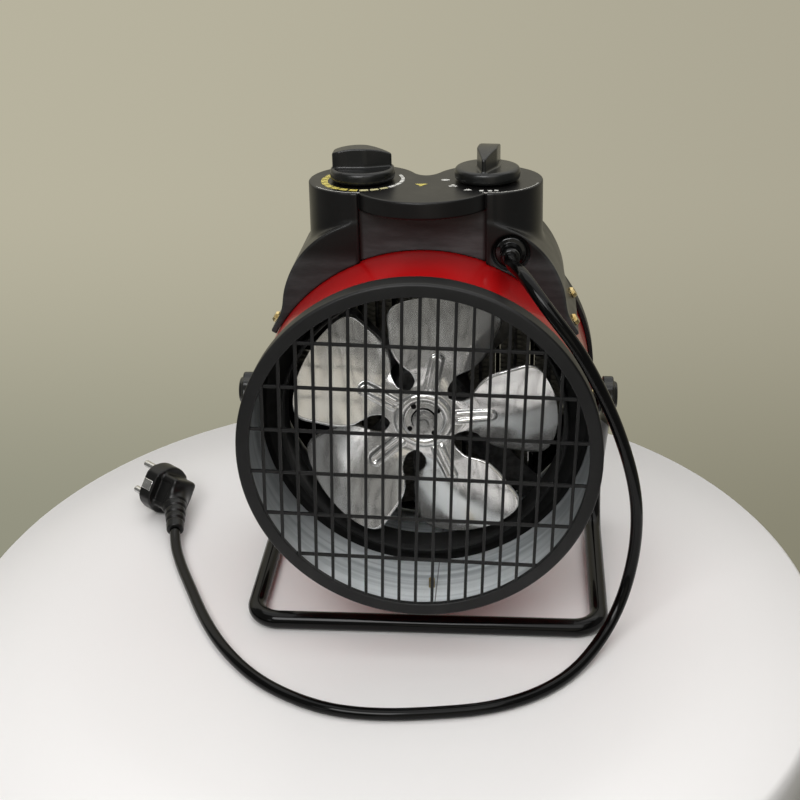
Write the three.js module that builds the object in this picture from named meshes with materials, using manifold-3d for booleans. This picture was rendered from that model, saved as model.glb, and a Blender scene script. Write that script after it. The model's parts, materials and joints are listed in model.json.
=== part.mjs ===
// Drum fan heater on a bent tube stand, seen from its air intake side.
//
// The drum lies along +Y: the intake grille is at the near end (low Y), the
// outlet grille at the far end. +X is to the right, +Z is up, lengths are in
// millimetres. The origin is on the floor under the middle of the heater.
// The drum is modelled along its own axis and then tilted about the two side
// pivots, the way the heater stands in its rest pose.

import * as THREE from 'three';
import { mergeVertices } from 'three/addons/utils/BufferGeometryUtils.js';
import { TessellateModifier } from 'three/addons/modifiers/TessellateModifier.js';
import Module from 'manifold-3d';

const wasm = await Module();
wasm.setup();

// SIZES, in millimetres

// clearances
const seatGap = 0.3;
const cutOverrun = 2;
const weldTolerance = 0.0001;

// drum casing: one rolled steel sheet
const casingRadius = 97;
const casingWall = 1.2;
const drumLength = 139;
const floorClearance = 34;
const axisHeight = casingRadius + floorClearance;
const restTiltDegrees = 3.74;

// end grilles: moulded ring with a skirt over the casing
const ringProud = 3;
const ringRadius = casingRadius + ringProud;
const ringFaceWidth = 7.5;
const ringPlate = 3.2;
const ringEdgeRound = 2;
const skirtDepth = 13;
const skirtDraft = 0.5;
const barPitch = 9.4;
const barWidth = 1.9;
const barDepth = 1.9;
const barInset = 0.4;
const barBite = 2;
const crossBarPitch = 25.6;
const crossBarWidth = 2.5;
const crossBarDepth = 1.6;
const crossBarPairs = 3;
const rearGrilleTurnDegrees = 1.84;
const outletBarPitch = 22;
const outletCrossPitch = 62;
const outletCrossPairs = 1;

// stamped fan
const fanInset = 22;
const fanRadius = casingRadius - fanInset;
const fanBlades = 5;
const fanSheet = 1.5;
const fanFromOutlet = 87;
const fanPlane = drumLength - fanFromOutlet;
const bladePitchDegrees = 18;
const firstBladeDegrees = 6.3;
const twistStart = 20;
const twistEnd = 34;
const hubBeadRadius = 16.8;
const hubBeadWidth = 3.4;
const stampHeight = 1.3;
const bladeRibStart = 20;
const bladeRibLength = 21;
const bladeRibWidth = 5.6;
const blankFacet = 23;

// motor, its shaft and its bracket
const shaftRadius = 3;
const shaftProud = 8.5;
const shaftNose = fanPlane - shaftProud;
const nutRadius = 6.2;
const nutThickness = 4.5;
const washerRadius = 7.6;
const washerThickness = 1.2;
const motorRadius = 27;
const motorBehindFan = 12;
const motorFront = fanPlane + motorBehindFan;
const motorLength = 25;
const motorCapRadius = 12;
const motorCapLength = 5;
const bracketSheet = 2;
const bracketHubRadius = 24;
const bracketArmWidth = 16;
const bracketTabLength = 12;
const bracketScrewRadius = 4.2;
const bracketScrewHead = 2;

// shroud: short duct round the blade tips, with a flange to the casing
const bladeClearance = 5;
const shroudThroat = fanRadius + bladeClearance;
const shroudWall = 2.2;
const shroudAheadOfFan = 10;
const shroudDepth = 19;
const shroudFront = fanPlane - shroudAheadOfFan;
const shroudFlange = shroudFront + shroudDepth;
const shroudLip = 2.6;
const shroudRim = 5;

// ceramic heater block
const heaterBehindFan = 48;
const heaterFront = fanPlane + heaterBehindFan;
const heaterDepth = 14;
const heaterInset = 11;
const heaterRadius = casingRadius - heaterInset;
const heaterHoopWall = 2;
const heaterHoopInset = 2;
const stripPitch = 20.6;
const stripWidth = 2.4;
const stripBite = 1;
const finCount = 7;
const finThickness = 2.4;
const finSpine = 2.2;
const heaterTabWidth = 18;
const heaterTabs = 4;

// control box: moulded saddle with two knob towers and a visor
const saddleLength = 64;
const saddleFromOutlet = 15;
const saddleRear = drumLength - saddleFromOutlet - saddleLength;
const flangeProud = 3.8;
const flangeRadius = casingRadius + flangeProud;
const flangeWingDegrees = 6.9;
const shoulderInset = 16;
const shoulderHalfWidth = casingRadius - shoulderInset;
const shoulderFootRise = 4;
const shoulderFoot = Math.sqrt(flangeRadius ** 2 - shoulderHalfWidth ** 2) + shoulderFootRise;
const shoulderRise = 17;
const shoulderTop = casingRadius + shoulderRise;
const shoulderTopInset = 43;
const shoulderBendInset = 6;
const shoulderInner = shoulderHalfWidth - shoulderTopInset;
const shoulderBendX = shoulderHalfWidth - shoulderBendInset;
const shoulderBendRise = 7;
const shoulderBendZ = casingRadius + shoulderBendRise;
const crownRise = 1.5;
const panelRise = 33.5;
const panelTop = casingRadius + panelRise;
const towerRadius = 31;
const towerFootRadius = 31.8;
const towerFootDrop = 33;
const towerFoot = casingRadius - towerFootDrop;
const towerSpacing = 70;
const towerFromRear = 32;
const towerDepth = saddleRear + towerFromRear;
const blockHalfWidth = 35;
const blockSetBack = 4;
const visorReach = 22;
const visorThickness = 9.8;
const visorLap = 0.5;
const visorHalfWidth = blockHalfWidth + visorLap;
const dipBehindTowers = 5;
const panelDip = towerDepth + dipBehindTowers;
const dipRadius = 18;
const saddleWall = 3;
const cavityEndInset = 21;
const cavityHalfWidth = shoulderHalfWidth - cavityEndInset;
const cavityFootDrop = 31;
const cavityTop = casingRadius;
const cavityFoot = casingRadius - cavityFootDrop;
const cavityEndWall = 7.5;

// knobs and the switches under them
const knobRadius = 18.3;
const knobForward = 3;
const knobDepth = towerDepth - knobForward;
const knobDiscHeight = 7.6;
const knobLift = 0.6;
const knobRound = 1.6;
const gripLength = 33;
const gripWidth = 14;
const gripHeight = 11.5;
const gripCrownRadius = 42;
const knobBore = 11;
const spindleRadius = 3;
const spindleReach = 9;
const switchSide = 27;
const switchHeight = 15;
const thermostatRadius = 15;
const thermostatHeight = 12;
const terminalLength = 24;
const terminalWidth = 11;
const terminalHeight = 12;
const terminalX = 0;
const terminalFromRear = 18;
const terminalDepth = saddleRear + terminalFromRear;
const terminalClearance = 2;
const terminalFooting = 5;

// cord gland in the right shoulder
const glandInset = 32.3;
const glandX = shoulderHalfWidth - glandInset;
const glandRise = 11.54;
const glandFromAxis = casingRadius + glandRise;
const glandZ = Math.sqrt(glandFromAxis ** 2 - glandX ** 2);
const glandCollar = 9;
const glandRecess = 4;
const glandCollarDepth = 5.2;
const glandNoseRoot = 7;
const glandNoseTip = 5.6;
const glandReach = 9;

// side pivots and clamp knobs
const pivotDepth = 76;
const pivotRise = 6;
const boltRadius = 3;
const boltHeadRadius = 6;
const boltHeadLength = 4;
const spacerRadius = 9;
const spacerThickness = 1;
const eyeRadius = 11;
const eyeThickness = 3.8;
const eyeShank = 33;
const eyeShoulderDegrees = 30;
const clampRadius = 11.5;
const clampScallop = 1;
const clampLobes = 8;
const clampThickness = 6;
const clampBossRadius = 7.5;
const clampBossHeight = 2.4;

// stand: one bent tube
const tubeRadius = 5.5;
const crossBarY = 20;
const standFootReach = 69;
const standFront = casingRadius + standFootReach;
const rearBend = 16;
const frontBend = 22;
const tubeEndGap = 16;

// screws
const screwHeadRadius = 3.6;
const screwHeadHeight = 2.2;
const screwShankRadius = 1.8;
const screwShankLength = 7;
const screwCrownShare = 0.75;
const saddleScrewInset = 9;
const saddleScrewOutletInset = 10;
const saddleScrewRear = saddleRear + saddleScrewInset;
const saddleScrewFront = saddleRear + saddleLength - saddleScrewOutletInset;
const sideScrewDropDegrees = 17.1;
const sideScrewDepth = 70;
const lowerScrewX = 5;
const lowerScrewDepth = 24;

// mains cord and plug
const cordRadius = 3.5;
const cordStraight = 10;
const plugFaceRadius = 17;
const plugFaceThickness = 12;
const plugBackRadius = 12.5;
const plugBackLength = 14;
const plugNeckRoot = 8.5;
const plugNeckTip = 5.4;
const plugNeckLength = 33;
const plugNeckBack = 8;
const plugWaistShare = 0.85;
const plugWaistLengthShare = 0.8;
const pinRadius = 2.4;
const pinLength = 19;
const pinSpacing = 19;
const pinSocket = 1.5;
const pinTipShare = 0.7;
const pinRoundShare = 0.3;
const earthClipWidth = 7;
const earthClipSheet = 1;
const plugFace = [-193.7, 152, 17.3];
const plugPinDirectionShares = [-0.78, 0.62, 0];
const plugPinLineShares = [-0.36, -0.45, -0.82];
const plugCordDirectionShares = [0.18, -0.95, -0.25];

// route of the cord over the floor, from the gland's end to the plug's end
const cordRouteStart = [48.7, 56.92, 224.49];
const cordRoute = [
  [54.3, 28, 229],
  [60.5, 16.5, 224.5],
  [69.5, 9, 214],
  [82.6, 5, 197.9],
  [96.8, 6, 171.2],
  [107.4, 10, 145],
  [117.5, 17, 110],
  [121.8, 24, 79],
  [120.6, 26, 47],
  [113.5, 18, 22],
  [101.4, 2, 8],
  [85.2, -20.8, 4],
  [65.4, -38.9, 3.9],
  [40.7, -51, 3.9],
  [13.6, -56.4, 3.9],
  [-19.1, -59.7, 3.9],
  [-47, -57, 3.9],
  [-70.8, -47.4, 3.9],
  [-93.4, -32.2, 3.9],
  [-115.6, -7.9, 3.9],
  [-133.5, 20, 3.9],
  [-149.5, 52, 3.9],
  [-162, 78, 4.1],
];

// facet counts
const drumSteps = 44;
const towerSteps = 32;
const innerSteps = 30;
const roundSteps = 20;
const curveSteps = 8;
const smallSteps = 12;
const screwSteps = 8;
const tubeSides = 12;
const cordSides = 8;
const cordSteps = 42;
const bendSteps = 4;
const blankSteps = 80;
const ribEndSteps = 3;
const scallopSteps = 4;

// outline of one fan blade: radius as a share of the fan's, half angle as a
// share of half the blade spacing, from the round relief cut out to the tip
const bladeOutlineShares = [
  [0.26, 1],
  [0.285, 0.77],
  [0.333, 0.66],
  [0.385, 0.75],
  [0.43, 0.9],
  [0.49, 0.94],
  [0.64, 0.885],
  [0.8, 0.795],
  [0.907, 0.7],
  [0.975, 0.58],
  [1, 0.4],
  [1, 0.14],
];

// plan of a knob's grip: along and across, as shares of half its length and
// half its width, with one pointed end
const gripPlanShares = [
  [1, 0.3],
  [0.82, 0.78],
  [0.3, 1],
  [-0.35, 1],
  [-0.9, 0.72],
  [-1, 0.45],
  [-1, -0.45],
  [-0.9, -0.72],
  [-0.35, -1],
  [0.3, -1],
  [0.82, -0.78],
  [1, -0.3],
];

// DERIVED SIZES

const turn = Math.PI * 2;
const rightAngle = Math.PI / 2;
const radians = THREE.MathUtils.degToRad;
const casingBore = casingRadius - casingWall;
const casingSeat = casingRadius + seatGap;
const ringBore = ringRadius - ringFaceWidth;
const casingFront = ringPlate + seatGap;
const casingBack = drumLength - ringPlate - seatGap;
const restTilt = radians(restTiltDegrees);

// HELPERS

// Keeps a geometry's positions only, welds them, drops slivers of no area and
// turns the faces outward.
function closed(source) {
  const bare = source.index ? source.toNonIndexed() : source.clone();
  for (const name of Object.keys(bare.attributes)) {
    if (name !== 'position') bare.deleteAttribute(name);
  }
  const welded = mergeVertices(bare, weldTolerance);
  const place = welded.attributes.position;
  const kept = [];
  const a = new THREE.Vector3();
  const b = new THREE.Vector3();
  const c = new THREE.Vector3();
  let volume = 0;
  for (let i = 0; i < welded.index.count; i += 3) {
    const [p, q, r] = [0, 1, 2].map((k) => welded.index.getX(i + k));
    if (p === q || q === r || r === p) continue;
    kept.push(p, q, r);
    a.fromBufferAttribute(place, p);
    b.fromBufferAttribute(place, q);
    c.fromBufferAttribute(place, r);
    volume += a.dot(b.cross(c));
  }
  if (volume < 0) kept.reverse();
  welded.setIndex(kept);
  return welded;
}

function solidOf(geometry) {
  const shape = closed(geometry);
  return new wasm.Manifold(new wasm.Mesh({
    numProp: 3,
    vertProperties: Float32Array.from(shape.attributes.position.array),
    triVerts: Uint32Array.from(shape.index.array),
  }));
}

function geometryOf(solid) {
  const mesh = solid.getMesh();
  const geometry = new THREE.BufferGeometry();
  geometry.setAttribute('position', new THREE.BufferAttribute(mesh.vertProperties, 3));
  geometry.setIndex(new THREE.BufferAttribute(mesh.triVerts, 1));
  return geometry;
}

function join(pieces) {
  const solids = pieces.map(solidOf);
  return geometryOf(solids.reduce((sum, piece) => sum.add(piece)));
}

function cut(body, tools) {
  const solids = tools.map(solidOf);
  return geometryOf(solids.reduce((rest, tool) => rest.subtract(tool), solidOf(body)));
}

const common = (body, limit) => geometryOf(solidOf(body).intersect(solidOf(limit)));

// Ring or disc turned about the Y axis from a closed [radius, along] outline.
function turned(outline, steps = roundSteps) {
  const points = outline.map(([radius, along]) => new THREE.Vector2(radius, along));
  points.push(points[0].clone());
  return closed(new THREE.LatheGeometry(points, steps));
}

// Cylinder along Y from one end to the other.
function rod(radius, from, to, steps = roundSteps, endRadius = radius) {
  const length = to - from;
  const geometry = new THREE.CylinderGeometry(endRadius, radius, length, steps);
  return geometry.translate(0, from + length / 2, 0);
}

// Cylinder along Z.
function post(radius, from, to, steps = roundSteps, footRadius = radius) {
  return rod(footRadius, from, to, steps, radius).rotateX(rightAngle);
}

// Cylinder along X.
function axle(radius, from, to, steps = roundSteps) {
  return rod(radius, from, to, steps).rotateZ(-rightAngle);
}

function block(x0, x1, y0, y1, z0, z1) {
  const geometry = new THREE.BoxGeometry(x1 - x0, y1 - y0, z1 - z0);
  return geometry.translate((x0 + x1) / 2, (y0 + y1) / 2, (z0 + z1) / 2);
}

// Flat outline in X and Z, thickened along Y from one depth to another.
function plate(shape, from, to) {
  const depth = to - from;
  const geometry = new THREE.ExtrudeGeometry(shape, {
    depth,
    bevelEnabled: false,
    curveSegments: curveSteps,
  });
  return geometry.rotateX(rightAngle).translate(0, to, 0);
}

// Flat outline in X and Y, thickened along Z.
function slab(shape, from, to) {
  const geometry = new THREE.ExtrudeGeometry(shape, { depth: to - from, bevelEnabled: false });
  return geometry.translate(0, 0, from);
}

function mesh(name, geometry, colour, roughness, metalness) {
  const material = new THREE.MeshStandardMaterial({ color: colour, roughness, metalness });
  const part = new THREE.Mesh(closed(geometry), material);
  part.name = name;
  return part;
}

// Path through corner points with round bends. Its stations lie only at the
// ends of the bends and along them, so the straight runs stay one facet long.
class BentPath extends THREE.Curve {
  constructor(corners, bends, steps) {
    super();
    this.stations = [{ place: corners[0], heading: corners[1].clone().sub(corners[0]).normalize() }];
    for (let i = 1; i < corners.length - 1; i += 1) {
      const incoming = corners[i].clone().sub(corners[i - 1]).normalize();
      const outgoing = corners[i + 1].clone().sub(corners[i]).normalize();
      const angle = incoming.angleTo(outgoing);
      const setBack = bends[i - 1] * Math.tan(angle / 2);
      const start = corners[i].clone().addScaledVector(incoming, -setBack);
      const axis = incoming.clone().cross(outgoing).normalize();
      const centre = start.clone().addScaledVector(axis.clone().cross(incoming), bends[i - 1]);
      for (let k = 0; k <= steps; k += 1) {
        const swing = new THREE.Quaternion().setFromAxisAngle(axis, (angle * k) / steps);
        const place = start.clone().sub(centre).applyQuaternion(swing).add(centre);
        this.stations.push({ place, heading: incoming.clone().applyQuaternion(swing) });
      }
    }
    const last = corners.length - 1;
    this.stations.push({
      place: corners[last],
      heading: corners[last].clone().sub(corners[last - 1]).normalize(),
    });
  }

  station(share) {
    return this.stations[Math.round(share * (this.stations.length - 1))];
  }

  getPoint(share, target = new THREE.Vector3()) {
    return target.copy(this.station(share).place);
  }

  getPointAt(share, target) {
    return this.getPoint(share, target);
  }

  getTangentAt(share, target = new THREE.Vector3()) {
    return target.copy(this.station(share).heading);
  }
}

// Tube whose flats, not its corners, lie at the given radius.
function tubeAlong(path, radius, sides, steps) {
  const corner = radius / Math.cos(Math.PI / sides);
  const section = new THREE.Shape();
  for (let i = 0; i < sides; i += 1) {
    const angle = ((i + 1 / 2) * turn) / sides;
    if (i === 0) section.moveTo(corner * Math.cos(angle), corner * Math.sin(angle));
    else section.lineTo(corner * Math.cos(angle), corner * Math.sin(angle));
  }
  section.closePath();
  return new THREE.ExtrudeGeometry(section, { steps, bevelEnabled: false, extrudePath: path });
}

// GROUPS

const heater = new THREE.Group();
const drum = new THREE.Group();
drum.position.z = axisHeight;
drum.rotation.x = -restTilt;
heater.add(drum);
drum.updateMatrixWorld(true);

const pivot = new THREE.Vector3(0, pivotDepth, pivotRise).applyMatrix4(drum.matrixWorld);

const blackMoulding = '#18191a';
const blackPanel = '#1c1d1d';
const redLacquer = '#a31419';
const blackLacquer = '#0e0f10';
const brightSheet = '#b9bcbe';
const zincYellow = '#b79a55';
const darkSteel = '#3a3c3e';

// CASING

const casingTube = turned([
  [casingBore, casingFront],
  [casingRadius, casingFront],
  [casingRadius, casingBack],
  [casingBore, casingBack],
], drumSteps);
const wiringWindow = block(
  -cavityHalfWidth / 2, cavityHalfWidth / 2,
  terminalDepth + terminalWidth / 2 - terminalFooting, knobDepth + switchSide / 2,
  casingBore / 2, casingRadius + cutOverrun,
);
const outside = casingRadius + cutOverrun;
const pivotHole = axle(boltRadius + seatGap, -outside, outside, smallSteps);
pivotHole.translate(0, pivotDepth, pivotRise);
const lowerScrewHole = post(screwShankRadius + seatGap, -outside, cutOverrun - casingBore, smallSteps);
lowerScrewHole.translate(lowerScrewX, lowerScrewDepth, 0);
const casingShell = cut(casingTube, [wiringWindow, pivotHole, lowerScrewHole]);
drum.add(mesh('casing', casingShell, redLacquer, 0.25, 0.3));

// GRILLES

// Ring with a round outer edge and a skirt, and two crossing rows of bars.
function grille(pitch, crossPitch, crossPairs) {
  const ring = turned([
    [ringBore, 0],
    [ringRadius - ringEdgeRound, 0],
    [ringRadius, ringEdgeRound],
    [ringRadius - skirtDraft, skirtDepth],
    [casingSeat, skirtDepth],
    [casingSeat, ringPlate],
    [ringBore, ringPlate],
  ], drumSteps);
  const pieces = [ring];
  const reach = ringBore + barBite;
  const perSide = Math.floor((ringBore - barWidth) / pitch);
  for (let i = -perSide; i <= perSide; i += 1) {
    const x = i * pitch;
    const half = Math.sqrt(reach ** 2 - x ** 2);
    pieces.push(block(x - barWidth / 2, x + barWidth / 2, barInset, barInset + barDepth, -half, half));
  }
  const crossFrom = barInset + barDepth / 2;
  for (let i = -crossPairs; i < crossPairs; i += 1) {
    const z = (i + 1 / 2) * crossPitch;
    const half = Math.sqrt(reach ** 2 - z ** 2);
    pieces.push(block(
      -half, half,
      crossFrom, crossFrom + crossBarDepth,
      z - crossBarWidth / 2, z + crossBarWidth / 2,
    ));
  }
  return join(pieces);
}

const rearLattice = grille(barPitch, crossBarPitch, crossBarPairs);
const rearGrille = mesh('rear_grille', rearLattice, blackMoulding, 0.5, 0);
rearGrille.rotation.y = radians(rearGrilleTurnDegrees);
drum.add(rearGrille);

const outletLattice = grille(outletBarPitch, outletCrossPitch, outletCrossPairs);
const outletGrille = mesh('outlet_grille', outletLattice, blackMoulding, 0.5, 0);
outletGrille.position.y = drumLength;
outletGrille.rotation.z = Math.PI;
drum.add(outletGrille);

// FAN

// The blank is cut flat, then each blade is pressed to its pitch: depth grows
// with the distance from the blade's own centre line.
function fanBlank() {
  const outline = [];
  const half = turn / fanBlades / 2;
  for (let k = 0; k < fanBlades; k += 1) {
    const middle = radians(firstBladeDegrees) + k * half * 2;
    const sides = [
      ...bladeOutlineShares.map(([r, a]) => [r, -a]),
      ...bladeOutlineShares.slice(1).reverse().map(([r, a]) => [r, a]),
    ];
    for (const [radiusShare, angleShare] of sides) {
      const angle = middle + angleShare * half;
      const radius = radiusShare * fanRadius;
      outline.push(new THREE.Vector3(radius * Math.cos(angle), radius * Math.sin(angle), 0));
    }
  }
  const edge = new THREE.CatmullRomCurve3(outline, true, 'centripetal').getPoints(blankSteps);
  edge.pop();
  const shape = new THREE.Shape(edge.map((point) => new THREE.Vector2(point.x, point.y)));
  const bore = new THREE.Path();
  bore.absarc(0, 0, shaftRadius + seatGap, 0, turn, true);
  shape.holes.push(bore);
  const flat = new THREE.ExtrudeGeometry(shape, {
    depth: fanSheet,
    bevelEnabled: false,
    curveSegments: smallSteps / 2,
  });
  const fine = new TessellateModifier(blankFacet, blankSteps).modify(flat);
  const place = fine.attributes.position;
  for (let i = 0; i < place.count; i += 1) {
    const x = place.getX(i);
    const y = place.getY(i);
    const radius = Math.hypot(x, y);
    const along = Math.atan2(y, x) - radians(firstBladeDegrees);
    const offset = along - Math.round(along / (half * 2)) * half * 2;
    const press = THREE.MathUtils.smoothstep(radius, twistStart, twistEnd);
    const rise = press * Math.tan(radians(bladePitchDegrees)) * radius * Math.sin(offset);
    place.setZ(i, place.getZ(i) + rise);
  }
  return fine.rotateX(rightAngle);
}

const fanStamping = [fanBlank()];
fanStamping.push(turned([
  [hubBeadRadius - hubBeadWidth / 2, -fanSheet / 2],
  [hubBeadRadius - hubBeadWidth / 4, -fanSheet - stampHeight],
  [hubBeadRadius + hubBeadWidth / 4, -fanSheet - stampHeight],
  [hubBeadRadius + hubBeadWidth / 2, -fanSheet / 2],
], roundSteps));
for (let k = 0; k < fanBlades; k += 1) {
  const rib = new THREE.Shape();
  const end = bladeRibStart + bladeRibLength - bladeRibWidth / 2;
  rib.moveTo(bladeRibStart, -bladeRibWidth / 2);
  rib.absarc(end, 0, bladeRibWidth / 2, -rightAngle, rightAngle, false);
  rib.lineTo(bladeRibStart, bladeRibWidth / 2);
  rib.closePath();
  const pressed = new THREE.ExtrudeGeometry(rib, {
    depth: stampHeight + fanSheet / 2,
    bevelEnabled: false,
    curveSegments: ribEndSteps,
  });
  pressed.translate(0, 0, fanSheet / 2);
  pressed.rotateZ(radians(firstBladeDegrees) + (k * turn) / fanBlades);
  fanStamping.push(pressed.rotateX(rightAngle));
}
const fan = mesh('fan_impeller', join(fanStamping), brightSheet, 0.28, 0.9);
fan.position.y = fanPlane;
drum.add(fan);

const fanFace = fanPlane - fanSheet - seatGap;
const hubWasher = turned([
  [shaftRadius + seatGap, fanFace - washerThickness],
  [washerRadius, fanFace - washerThickness],
  [washerRadius, fanFace],
  [shaftRadius + seatGap, fanFace],
], smallSteps);
drum.add(mesh('fan_washer', hubWasher, brightSheet, 0.3, 0.9));

const nutBack = fanFace - washerThickness - seatGap;
const nut = cut(
  rod(nutRadius, nutBack - nutThickness, nutBack, 6),
  [rod(shaftRadius + seatGap, nutBack - nutThickness - cutOverrun, nutBack + cutOverrun, smallSteps)],
);
drum.add(mesh('fan_nut', nut, darkSteel, 0.4, 0.8));

const motorBack = motorFront + motorLength;
drum.add(mesh('motor_shaft', join([
  rod(shaftRadius, shaftNose, motorFront + motorLength / 2, smallSteps),
  rod(shaftRadius * 2, fanPlane + seatGap, motorFront - motorCapLength - seatGap, smallSteps),
]), darkSteel, 0.35, 0.9));

// MOTOR

const motorShape = turned([
  [shaftRadius + seatGap, motorFront - motorCapLength],
  [motorCapRadius, motorFront - motorCapLength],
  [motorCapRadius, motorFront],
  [motorRadius - ringEdgeRound, motorFront],
  [motorRadius, motorFront + ringEdgeRound],
  [motorRadius, motorBack - ringEdgeRound],
  [motorRadius - ringEdgeRound, motorBack],
  [shaftRadius + seatGap, motorBack],
]);
drum.add(mesh('motor_body', motorShape, darkSteel, 0.45, 0.6));

const bracketFront = motorBack + seatGap;
const bracketBack = bracketFront + bracketSheet;
const bracketReach = casingBore - seatGap;
const bracketPieces = [rod(bracketHubRadius, bracketFront, bracketBack)];
for (const side of [-1, 1]) {
  const inner = Math.sqrt(bracketReach ** 2 - (bracketArmWidth / 2) ** 2);
  const strap = block(0, side * inner, bracketFront, bracketBack, -bracketArmWidth / 2, bracketArmWidth / 2);
  const tab = block(
    side * (inner - bracketSheet), side * inner,
    bracketFront - bracketTabLength, bracketBack,
    -bracketArmWidth / 2, bracketArmWidth / 2,
  );
  bracketPieces.push(strap, tab);
  bracketPieces.push(strap.clone().rotateY(rightAngle), tab.clone().rotateY(rightAngle));
}
const bracket = mesh('motor_bracket', join(bracketPieces), darkSteel, 0.5, 0.6);
bracket.rotation.y = rightAngle / 2;
drum.add(bracket);

for (const [i, side] of [-1, 1].entries()) {
  const place = (side * bracketHubRadius * 2) / 3;
  const seat = bracketBack + seatGap;
  const head = rod(bracketScrewRadius, seat, seat + bracketScrewHead, smallSteps);
  drum.add(mesh(`motor_screw_${i + 1}`, head.translate(place, 0, 0), zincYellow, 0.35, 0.8));
}

// SHROUD

const flangeOuter = casingBore - seatGap;
const boltRelief = axle(boltHeadRadius + seatGap * 2, -outside, outside);
boltRelief.translate(0, pivotDepth, pivotRise);
const shroud = cut(turned([
  [shroudThroat, shroudFront + shroudLip],
  [shroudThroat + shroudLip, shroudFront],
  [shroudThroat + shroudLip, shroudFlange - shroudWall],
  [flangeOuter - shroudWall, shroudFlange - shroudWall],
  [flangeOuter, shroudFlange - shroudWall - shroudRim],
  [flangeOuter, shroudFlange],
  [shroudThroat, shroudFlange],
], innerSteps), [boltRelief]);
drum.add(mesh('fan_shroud', shroud, '#101112', 0.55, 0));

// HEATER BLOCK

const heaterBack = heaterFront + heaterDepth;
const hoopInner = heaterRadius - heaterHoopWall;
const framePieces = [turned([
  [hoopInner, heaterFront - heaterHoopInset],
  [heaterRadius, heaterFront - heaterHoopInset],
  [heaterRadius, heaterBack + heaterHoopInset],
  [hoopInner, heaterBack + heaterHoopInset],
], innerSteps)];
const strips = Math.floor(hoopInner / stripPitch);
for (let i = -strips; i <= strips; i += 1) {
  const x = i * stripPitch;
  const half = Math.sqrt((hoopInner + stripBite) ** 2 - (Math.abs(x) + stripWidth / 2) ** 2);
  framePieces.push(block(x - stripWidth / 2, x + stripWidth / 2, heaterFront, heaterBack, -half, half));
}
for (let k = 0; k < heaterTabs; k += 1) {
  const tab = block(
    heaterRadius - stripBite, Math.sqrt(flangeOuter ** 2 - (heaterTabWidth / 2) ** 2),
    heaterBack, heaterBack + heaterHoopInset,
    -heaterTabWidth / 2, heaterTabWidth / 2,
  );
  framePieces.push(tab.rotateY((k * turn) / heaterTabs));
}
drum.add(mesh('heater_frame', join(framePieces), '#17181a', 0.5, 0.2));

// Corrugated fins between two strips: a comb with a spine at its far side.
for (let i = -strips; i < strips; i += 1) {
  const left = i * stripPitch + stripWidth / 2 + seatGap;
  const right = (i + 1) * stripPitch - stripWidth / 2 - seatGap;
  const outer = Math.max(Math.abs(left), Math.abs(right));
  const half = Math.sqrt((hoopInner - seatGap * 2) ** 2 - outer ** 2);
  const pitch = (half * 2 - finThickness) / (finCount - 1);
  const comb = new THREE.Shape();
  comb.moveTo(heaterBack, -half);
  for (let k = 0; k < finCount; k += 1) {
    const foot = -half + k * pitch;
    comb.lineTo(heaterFront, foot);
    comb.lineTo(heaterFront, foot + finThickness);
    if (k === finCount - 1) break;
    comb.lineTo(heaterBack - finSpine, foot + finThickness);
    comb.lineTo(heaterBack - finSpine, foot + pitch);
  }
  comb.lineTo(heaterBack, half);
  comb.closePath();
  const fins = new THREE.ExtrudeGeometry(comb, { depth: right - left, bevelEnabled: false });
  fins.applyMatrix4(new THREE.Matrix4().makeBasis(
    new THREE.Vector3(0, 1, 0),
    new THREE.Vector3(0, 0, 1),
    new THREE.Vector3(1, 0, 0),
  ));
  drum.add(mesh(`heater_fins_${i + strips + 1}`, fins.translate(left, 0, 0), '#2b2c2d', 0.6, 0.4));
}

// CONTROL BOX

const saddleFront = saddleRear + saddleLength;
const shoulderTurn = Math.acos(shoulderHalfWidth / flangeRadius);
const flangeEnd = shoulderTurn - radians(flangeWingDegrees);
const towerX = towerSpacing / 2;

function saddleShape() {
  const shape = new THREE.Shape();
  const foot = casingBore * Math.sin(flangeEnd);
  shape.moveTo(casingBore * Math.cos(flangeEnd), foot);
  shape.lineTo(flangeRadius * Math.cos(flangeEnd), flangeRadius * Math.sin(flangeEnd));
  shape.absarc(0, 0, flangeRadius, flangeEnd, shoulderTurn, false);
  shape.lineTo(shoulderHalfWidth, shoulderFoot);
  shape.quadraticCurveTo(shoulderBendX, shoulderBendZ, shoulderInner, shoulderTop);
  shape.quadraticCurveTo(0, shoulderTop + crownRise, -shoulderInner, shoulderTop);
  shape.quadraticCurveTo(-shoulderBendX, shoulderBendZ, -shoulderHalfWidth, shoulderFoot);
  shape.lineTo(-flangeRadius * Math.cos(shoulderTurn), flangeRadius * Math.sin(shoulderTurn));
  shape.absarc(0, 0, flangeRadius, Math.PI - shoulderTurn, Math.PI - flangeEnd, false);
  shape.lineTo(-casingBore * Math.cos(flangeEnd), foot);
  shape.closePath();
  return shape;
}

const blockFace = saddleRear + blockSetBack;
const visorRadius = (visorHalfWidth ** 2 + visorReach ** 2) / (2 * visorReach);
const visorCentre = blockFace - visorReach + visorRadius;
const underPanel = panelTop - saddleWall;
const towers = [-towerX, towerX];
const casingSpace = rod(casingSeat, saddleRear - skirtDepth, saddleFront + skirtDepth, drumSteps);
const faceNotch = block(
  -blockHalfWidth, blockHalfWidth,
  saddleRear - cutOverrun, blockFace,
  casingBore / 2, panelTop + cutOverrun,
);
const shoulders = cut(plate(saddleShape(), saddleRear, saddleFront), [faceNotch, casingSpace]);
const bridge = cut(
  block(-dipRadius, dipRadius, blockFace, panelDip + dipRadius, towerFoot, panelTop),
  [post(dipRadius, towerFoot - cutOverrun, panelTop + cutOverrun).translate(0, panelDip + dipRadius, 0)],
);
const innerBlock = block(-blockHalfWidth, blockHalfWidth, blockFace, towerDepth, towerFoot, panelTop);
const visorBack = visorCentre + visorRadius + cutOverrun;
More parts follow.
